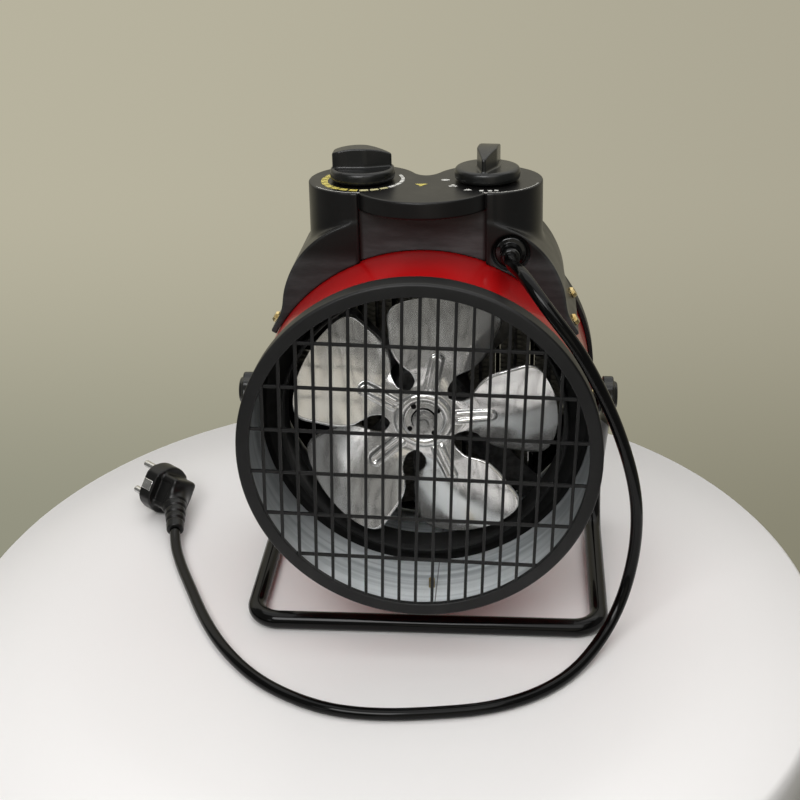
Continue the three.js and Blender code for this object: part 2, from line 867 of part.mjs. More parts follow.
const visor = cut(
  post(visorRadius, panelTop - visorThickness, panelTop, towerSteps).translate(0, visorCentre, 0),
  [block(-visorRadius * 2, visorRadius * 2, towerDepth, visorBack, 0, panelTop + cutOverrun)],
);
const saddleBody = join([
  shoulders,
  cut(bridge, [casingSpace]),
  cut(innerBlock, [casingSpace]),
  visor,
  ...towers.map((x) => cut(
    post(towerRadius, towerFoot, panelTop, towerSteps, towerFootRadius).translate(x, towerDepth, 0),
    [faceNotch, casingSpace],
  )),
]);
const towerBore = towerRadius - saddleWall;
const wellHalfLength = terminalLength / 2 + terminalClearance;
const wellHalfWidth = terminalWidth / 2 + terminalClearance;
const frontWall = block(
  -shoulderHalfWidth, shoulderHalfWidth,
  saddleRear - cutOverrun, blockFace + saddleWall,
  cavityFoot - cutOverrun, panelTop,
);
const hollows = [
  block(
    -cavityHalfWidth, cavityHalfWidth,
    blockFace + saddleWall, saddleFront - cavityEndWall,
    cavityFoot, cavityTop,
  ),
  block(-towerX, towerX, blockFace + saddleWall, towerDepth, cavityFoot, underPanel),
  block(
    terminalX - wellHalfLength, terminalX + wellHalfLength,
    terminalDepth - wellHalfWidth, terminalDepth + wellHalfWidth,
    cavityFoot, casingSeat + terminalHeight + terminalClearance,
  ),
  ...towers.map((x) => cut(
    post(towerBore, cavityFoot, underPanel).translate(x, towerDepth, 0),
    [frontWall],
  )),
  ...towers.map((x) => {
    const hole = post(spindleRadius + seatGap, underPanel - cutOverrun, panelTop + cutOverrun, smallSteps);
    return hole.translate(x, knobDepth, 0);
  }),
  rod(glandCollar + seatGap, saddleRear - cutOverrun, saddleRear + glandRecess).translate(glandX, 0, glandZ),
];
drum.add(mesh('control_box', cut(saddleBody, hollows), blackPanel, 0.42, 0));

// KNOBS

const knobBase = panelTop + knobLift;
const knobDiscTop = knobBase + knobDiscHeight;
const gripTop = knobDiscTop + gripHeight;

function knob() {
  const disc = turned([
    [0, knobBase],
    [knobRadius - knobRound / 2, knobBase],
    [knobRadius, knobBase + knobRound / 2],
    [knobRadius, knobDiscTop - knobRound],
    [knobRadius - knobRound, knobDiscTop],
    [0, knobDiscTop],
  ]).rotateX(rightAngle);
  const plan = new THREE.Shape(gripPlanShares.map(([along, across]) => new THREE.Vector2(
    (along * gripLength) / 2,
    (across * gripWidth) / 2,
  )));
  const bar = slab(plan, knobDiscTop - knobRound, gripTop + cutOverrun);
  const crown = rod(gripCrownRadius, -gripWidth, gripWidth, drumSteps);
  crown.translate(0, 0, gripTop - gripCrownRadius);
  const grip = common(bar, crown);
  const socket = post(spindleRadius + seatGap, knobBase - cutOverrun, knobBase + knobBore, smallSteps);
  return cut(join([disc, grip]), [socket]);
}

const thermostatKnob = mesh('thermostat_knob', knob(), blackMoulding, 0.4, 0);
thermostatKnob.position.set(-towerX, knobDepth, 0);
drum.add(thermostatKnob);

const modeKnob = mesh('mode_knob', knob(), blackMoulding, 0.4, 0);
modeKnob.position.set(towerX, knobDepth, 0);
modeKnob.rotation.z = -rightAngle;
drum.add(modeKnob);

const spindle = (top) => post(spindleRadius, top, knobBase + spindleReach, smallSteps);
const thermostatTop = underPanel - seatGap;
const spindleFoot = thermostatTop + seatGap;
const thermostatSpindle = mesh('thermostat_spindle', spindle(spindleFoot), brightSheet, 0.35, 0.8);
thermostatSpindle.position.set(-towerX, knobDepth, 0);
drum.add(thermostatSpindle);
const modeSpindle = mesh('mode_spindle', spindle(spindleFoot), brightSheet, 0.35, 0.8);
modeSpindle.position.set(towerX, knobDepth, 0);
drum.add(modeSpindle);

const thermostat = post(thermostatRadius, thermostatTop - thermostatHeight, thermostatTop);
drum.add(mesh('thermostat_body', thermostat.translate(-towerX, knobDepth, 0), brightSheet, 0.4, 0.6));
const rotarySwitch = block(
  towerX - switchSide / 2, towerX + switchSide / 2,
  knobDepth - switchSide / 2, knobDepth + switchSide / 2,
  thermostatTop - switchHeight, thermostatTop,
);
drum.add(mesh('mode_switch_body', rotarySwitch, '#d8d2c4', 0.6, 0));
const terminalFloor = casingSeat;
const terminals = join([
  block(
    terminalX - terminalLength / 2, terminalX + terminalLength / 2,
    terminalDepth - terminalWidth / 2, terminalDepth + terminalWidth / 2,
    terminalFloor, terminalFloor + terminalHeight / 2,
  ),
  ...[-1, 0, 1].map((i) => block(
    terminalX + (i * terminalLength) / 3 - terminalLength / 9,
    terminalX + (i * terminalLength) / 3 + terminalLength / 9,
    terminalDepth - terminalWidth / 3, terminalDepth + terminalWidth / 3,
    terminalFloor, terminalFloor + terminalHeight,
  )),
]);
drum.add(mesh('terminal_block', terminals, '#e6e2d6', 0.6, 0));

// CORD GLAND

const glandSeat = saddleRear + glandRecess - seatGap;
const glandFace = glandSeat - glandCollarDepth;
const glandTip = saddleRear - glandReach;
const gland = turned([
  [0, glandSeat],
  [0, glandTip],
  [glandNoseTip - ringEdgeRound / 2, glandTip],
  [glandNoseTip, glandTip + ringEdgeRound / 2],
  [glandNoseRoot, glandFace],
  [glandCollar - ringEdgeRound / 2, glandFace],
  [glandCollar, glandFace + ringEdgeRound / 2],
  [glandCollar, glandSeat],
], smallSteps);
drum.add(mesh('cord_gland', gland.translate(glandX, 0, glandZ), blackLacquer, 0.2, 0));

// PIVOTS AND CLAMPS

const spacerInner = casingSeat;
const spacerOuter = spacerInner + spacerThickness;
const eyeInner = spacerOuter + seatGap;
const eyeOuter = eyeInner + eyeThickness;
const clampInner = eyeOuter + seatGap;
const clampOuter = clampInner + clampThickness;
const boltSeat = Math.sqrt(casingBore ** 2 - (pivotRise + boltHeadRadius) ** 2) - seatGap;

function clampWheel() {
  const wheel = new THREE.Shape();
  const points = clampLobes * scallopSteps;
  for (let i = 0; i < points; i += 1) {
    const angle = (i * turn) / points;
    const radius = clampRadius - clampScallop * (1 - Math.cos(clampLobes * angle)) / 2;
    if (i === 0) wheel.moveTo(radius, 0);
    else wheel.lineTo(radius * Math.cos(angle), radius * Math.sin(angle));
  }
  wheel.closePath();
  const body = slab(wheel, clampInner, clampOuter);
  const boss = post(clampBossRadius, clampOuter - seatGap, clampOuter + clampBossHeight, smallSteps);
  const bore = post(boltRadius + seatGap, clampInner - cutOverrun, clampOuter, smallSteps);
  return cut(join([body, boss]), [bore]).rotateY(rightAngle);
}

for (const [name, side] of [['left', -1], ['right', 1]]) {
  const hub = new THREE.Group();
  hub.position.set(0, pivotDepth, pivotRise);
  if (side < 0) hub.rotation.z = Math.PI;
  const bolt = join([
    axle(boltHeadRadius, boltSeat - boltHeadLength, boltSeat, 6),
    axle(boltRadius, boltSeat - boltHeadLength / 2, clampOuter - seatGap * 2, smallSteps),
  ]);
  hub.add(mesh(`pivot_bolt_${name}`, bolt, zincYellow, 0.35, 0.8));
  const spacer = cut(
    axle(spacerRadius, spacerInner, spacerOuter, smallSteps),
    [axle(boltRadius + seatGap, spacerInner - cutOverrun, spacerOuter + cutOverrun, smallSteps)],
  );
  hub.add(mesh(`pivot_spacer_${name}`, spacer, blackLacquer, 0.4, 0));
  hub.add(mesh(`clamp_knob_${name}`, clampWheel(), blackMoulding, 0.45, 0));
  drum.add(hub);
}

// SCREWS

// Pan head screw along +Y, seated on a surface at the given distance.
function panScrew(seat) {
  const top = seat + screwHeadHeight;
  return turned([
    [0, seat],
    [screwHeadRadius, seat],
    [screwHeadRadius, seat + screwHeadHeight / 3],
    [screwHeadRadius * screwCrownShare, top],
    [0, top],
  ], screwSteps);
}

let screwNumber = 0;
for (const side of [-1, 1]) {
  for (const depth of [saddleScrewRear, saddleScrewFront]) {
    screwNumber += 1;
    const head = panScrew(flangeRadius + seatGap);
    const screw = mesh(`saddle_screw_${screwNumber}`, head, zincYellow, 0.35, 0.8);
    screw.rotation.z = side > 0 ? -rightAngle : rightAngle;
    const holder = new THREE.Group();
    holder.position.y = depth;
    holder.rotation.y = -side * (flangeEnd + radians(flangeWingDegrees) / 2);
    holder.add(screw);
    drum.add(holder);
  }
}
for (const [name, side] of [['left', -1], ['right', 1]]) {
  const screw = mesh(`side_screw_${name}`, panScrew(casingRadius + seatGap), zincYellow, 0.35, 0.8);
  screw.rotation.z = side > 0 ? -rightAngle : rightAngle;
  const holder = new THREE.Group();
  holder.position.y = sideScrewDepth;
  holder.rotation.y = -side * (flangeEnd - radians(sideScrewDropDegrees));
  holder.add(screw);
  drum.add(holder);
}
const lowerScrew = mesh('lower_screw', join([
  panScrew(casingRadius + seatGap),
  rod(screwShankRadius, casingRadius - screwShankLength, casingRadius + seatGap * 2, smallSteps / 2),
]), zincYellow, 0.35, 0.8);
lowerScrew.rotation.x = -rightAngle;
lowerScrew.position.set(lowerScrewX, lowerScrewDepth, 0);
drum.add(lowerScrew);

// STAND

const legX = (eyeInner + eyeOuter) / 2 + (tubeRadius * 2 - eyeThickness) / 2 - seatGap;
const frontCorner = new THREE.Vector3(0, standFront, tubeRadius);
const legUp = new THREE.Vector3(0, pivot.y - frontCorner.y, pivot.z - frontCorner.z);
const legLength = legUp.length();
legUp.normalize();
const tubeTop = frontCorner.clone().addScaledVector(legUp, legLength - tubeEndGap);
const corners = [
  new THREE.Vector3(-legX, tubeTop.y, tubeTop.z),
  new THREE.Vector3(-legX, frontCorner.y, frontCorner.z),
  new THREE.Vector3(-legX, crossBarY, tubeRadius),
  new THREE.Vector3(legX, crossBarY, tubeRadius),
  new THREE.Vector3(legX, frontCorner.y, frontCorner.z),
  new THREE.Vector3(legX, tubeTop.y, tubeTop.z),
];
const standPath = new BentPath(corners, [frontBend, rearBend, rearBend, frontBend], bendSteps);
const bentTube = tubeAlong(standPath, tubeRadius, tubeSides, standPath.stations.length - 1);

// Flattened end of the tube: a round eye and its shank.
function eye(side) {
  const shape = new THREE.Shape();
  const half = tubeRadius - seatGap;
  const shoulder = radians(eyeShoulderDegrees);
  shape.moveTo(half, -eyeShank);
  shape.lineTo(eyeRadius * Math.cos(shoulder), -eyeRadius * Math.sin(shoulder));
  shape.absarc(0, 0, eyeRadius, -shoulder, Math.PI + shoulder, false);
  shape.lineTo(-half, -eyeShank);
  shape.closePath();
  const hole = new THREE.Path();
  hole.absarc(0, 0, boltRadius + seatGap, 0, turn, true);
  shape.holes.push(hole);
  const flat = new THREE.ExtrudeGeometry(shape, {
    depth: eyeThickness,
    bevelEnabled: false,
    curveSegments: curveSteps,
  });
  const up = legUp.clone();
  const inward = side > 0 ? eyeInner : -eyeOuter;
  flat.applyMatrix4(new THREE.Matrix4().makeBasis(
    new THREE.Vector3(0, up.z, -up.y),
    up,
    new THREE.Vector3(1, 0, 0),
  ));
  return flat.translate(inward, pivot.y, pivot.z);
}
heater.add(mesh('stand_tube', join([bentTube, eye(-1), eye(1)]), blackLacquer, 0.22, 0.2));

// PLUG AND CORD

const vector = ([x, y, z]) => new THREE.Vector3(x, y, z);
const pinDirection = vector(plugPinDirectionShares).normalize();
const pinLine = vector(plugPinLineShares).projectOnPlane(pinDirection).normalize();
const plugSide = pinDirection.clone().cross(pinLine);
const cordDirection = vector(plugCordDirectionShares).normalize();
const faceCentre = vector(plugFace);
const alongY = new THREE.Vector3(0, 1, 0);
const toPins = new THREE.Matrix4().makeBasis(plugSide, pinDirection, pinLine).setPosition(faceCentre);

const neckStart = faceCentre.clone().addScaledVector(pinDirection, -plugFaceThickness - plugNeckBack);
const neckTurn = new THREE.Quaternion().setFromUnitVectors(alongY, cordDirection);
const toNeck = new THREE.Matrix4().compose(neckStart, neckTurn, new THREE.Vector3(1, 1, 1));
const plugHead = turned([
  [0, 0],
  [plugFaceRadius - ringEdgeRound, 0],
  [plugFaceRadius, -ringEdgeRound],
  [plugFaceRadius, -plugFaceThickness + ringEdgeRound],
  [plugBackRadius, -plugFaceThickness - plugBackLength / 3],
  [plugBackRadius * plugWaistShare, -plugFaceThickness - plugBackLength * plugWaistLengthShare],
  [plugBackRadius / 2, -plugFaceThickness - plugBackLength],
  [0, -plugFaceThickness - plugBackLength],
]).applyMatrix4(toPins);
const neck = turned([
  [0, -plugBackRadius / 2],
  [plugNeckRoot, 0],
  [plugNeckRoot, plugNeckLength / 3],
  [plugNeckTip, plugNeckLength],
  [0, plugNeckLength],
], smallSteps).applyMatrix4(toNeck);
const sockets = [-1, 1].map((side) => rod(pinRadius + seatGap, -pinSocket, cutOverrun, smallSteps)
  .translate(0, 0, (side * pinSpacing) / 2).applyMatrix4(toPins));
heater.add(mesh('plug_body', cut(join([plugHead, neck]), sockets), blackMoulding, 0.4, 0));
for (const [i, side] of [-1, 1].entries()) {
  const pin = turned([
    [0, seatGap - pinSocket],
    [pinRadius, seatGap - pinSocket],
    [pinRadius, pinLength - pinRadius],
    [pinRadius * pinTipShare, pinLength - pinRadius * pinRoundShare],
    [0, pinLength],
  ], smallSteps * 3 / 4);
  pin.translate(0, 0, (side * pinSpacing) / 2).applyMatrix4(toPins);
  heater.add(mesh(`plug_pin_${i + 1}`, pin, brightSheet, 0.25, 0.95));
}
const clip = block(
  plugFaceRadius + seatGap, plugFaceRadius + seatGap + earthClipSheet,
  -plugFaceThickness + ringEdgeRound, -ringEdgeRound,
  -earthClipWidth / 2, earthClipWidth / 2,
).applyMatrix4(toPins);
heater.add(mesh('plug_earth_clip', clip, brightSheet, 0.25, 0.95));

const cordStart = new THREE.Vector3(glandX, glandTip - seatGap, glandZ).applyMatrix4(drum.matrixWorld);
const cordOut = new THREE.Vector3(0, -1, 0).transformDirection(drum.matrixWorld);
const cordEnd = new THREE.Vector3(0, plugNeckLength + seatGap, 0).applyMatrix4(toNeck);
const glandShift = cordStart.clone().sub(vector(cordRouteStart));
const hangingStops = cordRoute.findIndex((stop) => stop[2] < cordRadius * 3);
const cordPoints = [
  cordStart,
  cordStart.clone().addScaledVector(cordOut, cordStraight),
  ...cordRoute.map((stop, k) => vector(stop).addScaledVector(glandShift, Math.max(0, 1 - k / hangingStops))),
  cordEnd.clone().addScaledVector(cordDirection, cordStraight),
  cordEnd,
];
const cordCurve = new THREE.CatmullRomCurve3(cordPoints, false, 'centripetal');
const cordTube = tubeAlong(cordCurve, cordRadius, cordSides, cordSteps);
heater.add(mesh('power_cord', cordTube, blackLacquer, 0.3, 0));

// ORIGIN

// Bottom centre of the heater itself, without the cord and the plug.
heater.updateMatrixWorld(true);
const extent = new THREE.Box3();
heater.traverse((item) => {
  if (item.isMesh && !/^(power_cord|plug_)/.test(item.name)) extent.expandByObject(item, true);
});
const middle = extent.getCenter(new THREE.Vector3());
heater.position.set(-middle.x, -middle.y, -extent.min.z);
heater.updateMatrixWorld(true);

export default heater;
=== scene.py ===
# %% [markdown]
# # A round fan heater on a bent tube stand
#
# The heater is a short steel drum with a moulded grille at each end. A black
# moulded saddle with two controls sits on top, and a lead runs from it to a
# two-pin plug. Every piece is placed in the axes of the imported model, so nothing
# has to be fitted afterwards.

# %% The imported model
import json

import bmesh
import bpy
import numpy as np
from mathutils import Matrix


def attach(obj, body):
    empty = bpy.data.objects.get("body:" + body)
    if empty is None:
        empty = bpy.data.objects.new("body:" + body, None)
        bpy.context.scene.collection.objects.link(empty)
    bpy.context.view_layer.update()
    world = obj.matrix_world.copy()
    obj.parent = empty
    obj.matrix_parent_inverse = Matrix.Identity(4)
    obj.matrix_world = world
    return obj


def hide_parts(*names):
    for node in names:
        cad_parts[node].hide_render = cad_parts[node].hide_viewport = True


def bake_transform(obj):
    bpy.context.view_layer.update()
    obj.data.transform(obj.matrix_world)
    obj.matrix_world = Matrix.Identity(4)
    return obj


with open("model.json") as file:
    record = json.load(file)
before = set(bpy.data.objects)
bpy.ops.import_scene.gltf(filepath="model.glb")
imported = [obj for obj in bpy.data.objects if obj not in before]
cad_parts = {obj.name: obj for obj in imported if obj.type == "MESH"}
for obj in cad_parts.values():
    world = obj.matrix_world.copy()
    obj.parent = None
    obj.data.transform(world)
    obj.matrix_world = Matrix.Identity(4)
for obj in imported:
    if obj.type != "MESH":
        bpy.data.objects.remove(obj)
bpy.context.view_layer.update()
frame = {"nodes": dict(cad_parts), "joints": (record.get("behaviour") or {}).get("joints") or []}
nodes = frame["nodes"]
joints = {joint["name"]: joint for joint in frame["joints"]}
print("packed nodes:", len(nodes), "moving joints:", len(joints))

# %% [markdown]
# The drum leans a little on its two side pivots. Its own axes come from the
# joints: the fan's axis runs into the drum, the controls' axis points up out of
# it. Points of the drum's pieces are written as (right, into, up) in millimetres
# from the middle of the intake grille's face, which is easier to read than
# leaning coordinates.

# %% The drum's own axes
MM = 0.001
FAN_PLANE = 52
PIVOT_DEPTH, PIVOT_HEIGHT = 76, 6
RIGHT = np.array([1.0, 0.0, 0.0])
INTO = np.array(joints["fan_spin"]["axis"])
UP = np.array(joints["thermostat_turn"]["axis"])
DRUM_AXES = np.array([RIGHT, INTO, UP])
GRILLE_CENTRE = np.array(joints["fan_spin"]["pos_m"]) - FAN_PLANE * MM * INTO


def in_drum(points):
    """Places in metres of drum points in millimetres: the centre plus each
    coordinate along its axis."""
    return GRILLE_CENTRE + MM * np.asarray(points, float) @ DRUM_AXES


def on_table(points):
    """Places in metres of table points in millimetres. Their zero lies under
    the middle of the grille's face."""
    return MM * np.asarray(points, float) + np.array([0.0, GRILLE_CENTRE[1], 0.0])


print("middle of the intake grille:", np.round(GRILLE_CENTRE, 4))

# %% [markdown]
# The photograph was taken from above and a little to the right. The camera's
# place, aim and lens were worked out from the round grille, the table's rim and
# the stand, so the render can be laid over the photograph.

# %% Camera
CAMERA_PLACE = (53.525, -625.893, 499.194)
CAMERA_RIGHT = (0.99610, 0.08343, -0.02856)
CAMERA_UP = (-0.01383, 0.46765, 0.88380)
CAMERA_BACK = (0.08710, -0.87997, 0.46698)
LENS = 60.55


def facing(place, axes):
    """The matrix that puts a thing at a place, with its axes as rows."""
    return Matrix.Translation(place) @ Matrix(np.array(axes).T.tolist()).to_4x4()


camera_data = bpy.data.cameras.new("photo_camera")
camera_data.lens = LENS
camera_data.clip_start = 0.01
camera = bpy.data.objects.new("photo_camera", camera_data)
camera.matrix_world = facing(on_table(CAMERA_PLACE), [CAMERA_RIGHT, CAMERA_UP, CAMERA_BACK])
bpy.context.scene.collection.objects.link(camera)
bpy.context.scene.camera = camera
print("camera at", np.round(on_table(CAMERA_PLACE), 3))

# %% [markdown]
# ## Grids of points
#
# Every surface here is a grid: rows and columns of points, with a quad between
# each four neighbours. A grid that closes on itself wraps round. A few small
# functions number the quads, close the ends and turn the faces outwards.


# %% Grid helpers
def full_turn(steps):
    """Angles once round, the last one a step short of the first."""
    return np.linspace(0, 2 * np.pi, steps, endpoint=False)


def circle(angle):
    """Points at these angles on a circle of radius 1."""
    return np.stack([np.cos(angle), np.sin(angle)], axis=-1)


def grid_quads(rows, columns, wrap_rows=False, wrap_columns=False):
    """Quads between neighbours of a grid whose points are numbered row by row."""
    row, column = np.meshgrid(
        np.arange(rows if wrap_rows else rows - 1),
        np.arange(columns if wrap_columns else columns - 1),
        indexing="ij",
    )
    below, beside = (row + 1) % rows, (column + 1) % columns
    corners = [
        row * columns + column,
        below * columns + column,
        below * columns + beside,
        row * columns + beside,
    ]
    return np.stack(corners, axis=-1).reshape(-1, 4)


# %% Closed skins
def outward(points, quads):
    """The quads turned so that the volume they enclose counts as positive."""
    a, b, c, d = (points[quads[:, k]] for k in range(4))
    volume = np.sum(a * (np.cross(b, c) + np.cross(c, d)))
    return quads if volume > 0 else quads[:, ::-1]


def shell(grid, wrap_rows=False, wrap_columns=False):
    """Points and outward quads of a grid that closes to a solid's skin."""
    rows, columns = grid.shape[:2]
    points = grid.reshape(-1, 3)
    return points, outward(points, grid_quads(rows, columns, wrap_rows, wrap_columns))


def capped(rings, ends=None):
    """The skin of a row of rings, closed at each end by a ring that has shrunk
    to one point: the end ring's middle, or a point that is given."""
    ends = rings[[0, -1]].mean(axis=1) if ends is None else ends
    caps = np.repeat(ends[:, None], rings.shape[1], axis=1)
    return shell(np.concatenate([caps[:1], rings, caps[1:]]), wrap_columns=True)


def together(*shells):
    """Several shells as one list of points and one of quads."""
    counts = np.cumsum([0] + [len(points) for points, _ in shells])
    points = np.concatenate([points for points, _ in shells])
    quads = np.concatenate([quads + start for (_, quads), start in zip(shells, counts)])
    return points, quads


def moved(surface, offset):
    """The surface shifted by an offset."""
    return surface[0] + offset, surface[1]


def about_axis(surface, degrees):
    """The surface turned round the drum's axis."""
    a = np.radians(degrees)
    turn = np.array([[np.cos(a), 0, -np.sin(a)], [0, 1, 0], [np.sin(a), 0, np.cos(a)]])
    return surface[0] @ turn, surface[1]


# %% [markdown]
# A piece becomes a Blender mesh in one place, so that each of them is welded at
# its seams and poles, smooth but creased where faces meet sharply, tied to its
# moving body and named after what it stands for.

# %% Piece maker
WELD = 1e-6
CREASE = np.radians(32)
NO_CREASE = np.pi


def add_mesh(name, points, quads, finish):
    """A smooth mesh object with one finish, in the scene."""
    mesh = bpy.data.meshes.new(name)
    mesh.from_pydata(np.asarray(points).tolist(), [], np.asarray(quads).tolist())
    mesh.shade_smooth()
    mesh.materials.append(finish)
    thing = bpy.data.objects.new(name, mesh)
    bpy.context.scene.collection.objects.link(thing)
    return thing


def make_piece(name, body, surface, finish, stands_for=(), crease=CREASE, place=in_drum):
    """One object from (points, quads), riding on a body of the model. The place
    function takes the points to metres."""
    piece = add_mesh(name, place(surface[0]), surface[1], finish)
    work = bmesh.new()
    work.from_mesh(piece.data)
    bmesh.ops.remove_doubles(work, verts=work.verts, dist=WELD)
    work.to_mesh(piece.data)
    work.free()
    piece.data.set_sharp_from_angle(angle=crease)
    if body:
        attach(piece, body)
    if stands_for:
        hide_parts(*stands_for)
    print(f"{name}: {len(piece.data.polygons)} faces")
    return piece


# %% [markdown]
# ## Surfaces of three kinds
#
# Turned pieces are a profile carried round an axis. Bent pieces are a section
# carried along a path. Moulded pieces, with soft fillets where one form runs
# into another, are the zero level of a distance formula.


# %% Turned surfaces
def unit(vector):
    return np.asarray(vector, float) / np.linalg.norm(vector)


def rounded(corners, radius, steps=5):
    """A closed outline with each corner replaced by an arc-like curve: the
    quadratic curve between two points one radius away from the corner."""
    corners = np.asarray(corners, float)
    before = np.roll(corners, 1, axis=0) - corners
    after = np.roll(corners, -1, axis=0) - corners
    radius = np.broadcast_to(radius, len(corners))[:, None]
    reach_in = np.minimum(radius / np.linalg.norm(before, axis=1, keepdims=True), 0.49)
    reach_out = np.minimum(radius / np.linalg.norm(after, axis=1, keepdims=True), 0.49)
    share = np.linspace(0, 1, steps)[None, :, None]
    start, end = (corners + before * reach_in)[:, None], (corners + after * reach_out)[:, None]
    middle = corners[:, None]
    curve = (1 - share) ** 2 * start + 2 * share * (1 - share) * middle + share**2 * end
    return curve.reshape(-1, 2)


def band(inner, outer, start, end):
    """Corners of a profile between two radii and two depths."""
    return [(inner, start), (outer, start), (outer, end), (inner, end)]


def turned(profile, steps=128):
    """A closed profile of (radius, into) carried round the drum's axis:
    x = r cos a, z = r sin a."""
    profile = np.asarray(profile, float)
    radius, into = profile[:, :1], profile[:, 1:]
    angle = full_turn(steps)
    grid = [radius * np.cos(angle), into + 0 * angle, radius * np.sin(angle)]
    return shell(np.stack(grid, axis=-1), wrap_rows=True, wrap_columns=True)


# %% Swept surfaces
def sides_of_travel(path):
    """Two side directions at each point of a path. Each side is the one before
    it, freed of its part along the new heading."""
    heading = np.gradient(path, axis=0)
    heading /= np.linalg.norm(heading, axis=1, keepdims=True)
    side = np.empty_like(heading)
    start = np.eye(3)[np.argmin(np.abs(heading[0]))]
    for k, ahead in enumerate(heading):
        start = start - ahead * (start @ ahead)
        start = start / np.linalg.norm(start)
        side[k] = start
    return side, np.cross(heading, side)


def swept(path, section, sides=None):
    """A section of (side, rise) points, one set for all or one for each station,
    carried along a path and closed with a flat cap at both ends."""
    path = np.asarray(path, float)
    section = np.broadcast_to(section, (len(path),) + np.shape(section)[-2:])
    side, rise = sides_of_travel(path) if sides is None else sides
    rings = path[:, None] + section[..., :1] * side[:, None] + section[..., 1:] * rise[:, None]
    return capped(rings, path[[0, -1]])


# %% [markdown]
# The moulded pieces need more than a profile. Their form is written as a signed
# distance: negative inside, positive outside. Joining two forms takes the
# smaller distance, and rounding that minimum over gives the fillet, which a
# boolean and a bevel would only give with much repair. The skin is then found
# cell by cell on a grid: each cell that the skin crosses gets one point, and
# each grid edge that it crosses gets one quad.


# %% Moulded surfaces
def soft_min(a, b, width):
    """The smaller of two distances, less h^2 / (4 width) where they are closer
    than width, with h the width less their difference."""
    h = np.maximum(width - np.abs(a - b), 0)
    return np.minimum(a, b) - h * h / (4 * width)


def soft_max(a, b, width):
    """The larger of two distances, rounded over in the same way."""
    return -soft_min(-a, -b, width)


def moulded(distance, low, high, step):
    """Points and quads of the skin where the distance formula is zero. A cell's
    point is the mean of the crossings on its edges."""
    low, high = np.asarray(low, float), np.asarray(high, float)
    count = np.ceil((high - low) / step).astype(int) + 1
    axes = [low[k] + step * np.arange(count[k]) for k in range(3)]
    value = distance(*np.meshgrid(*axes, indexing="ij", sparse=True))
    total, hits = np.zeros((*(count - 1), 3)), np.zeros(count - 1)
    quads, edges = [], []
    for axis in range(3):
        ends = [slice(None)] * 3
        ends[axis] = slice(None, -1)
        first = value[tuple(ends)]
        ends[axis] = slice(1, None)
        second = value[tuple(ends)]
        cross = (first < 0) != (second < 0)
        share = np.where(cross, first / np.where(cross, first - second, 1), 0)
        edges.append(np.argwhere(cross))
        b, c = [k for k in range(3) if k != axis]
        for step_b, step_c in np.ndindex(2, 2):
            window = [slice(None)] * 3
            window[b] = slice(step_b, step_b + count[b] - 1)
            window[c] = slice(step_c, step_c + count[c] - 1)
            here = cross[tuple(window)]
            hits += here
            total[..., axis] += share[tuple(window)]
            total[..., b] += here * step_b
            total[..., c] += here * step_c
    used = hits > 0
    number = np.full(count - 1, -1)
    number[used] = np.arange(used.sum())
    points = low + step * (np.argwhere(used) + total[used] / hits[used][:, None])
    for axis, edge in enumerate(edges):
        b, c = np.eye(3, dtype=int)[[(axis + 1) % 3, (axis + 2) % 3]]
        around = [edge - b - c, edge - c, edge, edge - b]
        quad = np.stack([number[tuple(cell.T)] for cell in around], axis=-1)
        leaving = value[tuple(edge.T)] < 0
        quads.append(np.where(leaving[:, None], quad, quad[:, ::-1]))
    return settle(distance, points, step), np.concatenate(quads)


# %% Settling points onto the form
def settle(distance, points, reach, rounds=3):
    """Points moved along the slope onto the zero level: p - f g / (g . g), with
    the slope g from differences a small way to each side."""
    gap = reach / 20
    for _ in range(rounds):
        value = distance(*points.T)
        slope = np.stack([
            (distance(*(points + gap * axis).T) - distance(*(points - gap * axis).T)) / (2 * gap)
            for axis in np.eye(3)
        ], axis=-1)
        size = np.sum(slope * slope, axis=1)
        move = value / np.maximum(size, 0.25)
        points = points - np.clip(move, -reach, reach)[:, None] * slope
    return points


# %% [markdown]
# ## Shader sums
#
# Shader maths reads better as Python sums than as node names. A Signal wraps a
# socket, and + - * on it add a Math node. A Paint holds one material.


# %% Signals
class Signal:
    """A shader socket that can be used in a Python sum."""

    def __init__(self, paint, socket):
        self.paint, self.socket = paint, socket

    def math(self, operation, *others):
        values = dict(enumerate((self,) + others))
        return self.paint.add("ShaderNodeMath", {"operation": operation}, values)

    def __add__(self, other):
        return self.math("ADD", other)

    def __mul__(self, other):
        return self.math("MULTIPLY", other)

    def __sub__(self, other):
        return self.math("SUBTRACT", other)

    def __rsub__(self, other):
        return (self * -1.0) + other

    __radd__ = __add__
    __rmul__ = __mul__

    def clamp(self, low, high):
        """0 at low, 1 at high, a soft step between and level beyond. With low
        above high the step falls instead of rising."""
        values = {"Value": self, "From Min": low, "From Max": high}
        settings = {"interpolation_type": "SMOOTHSTEP"}
        return self.paint.add("ShaderNodeMapRange", settings, values)


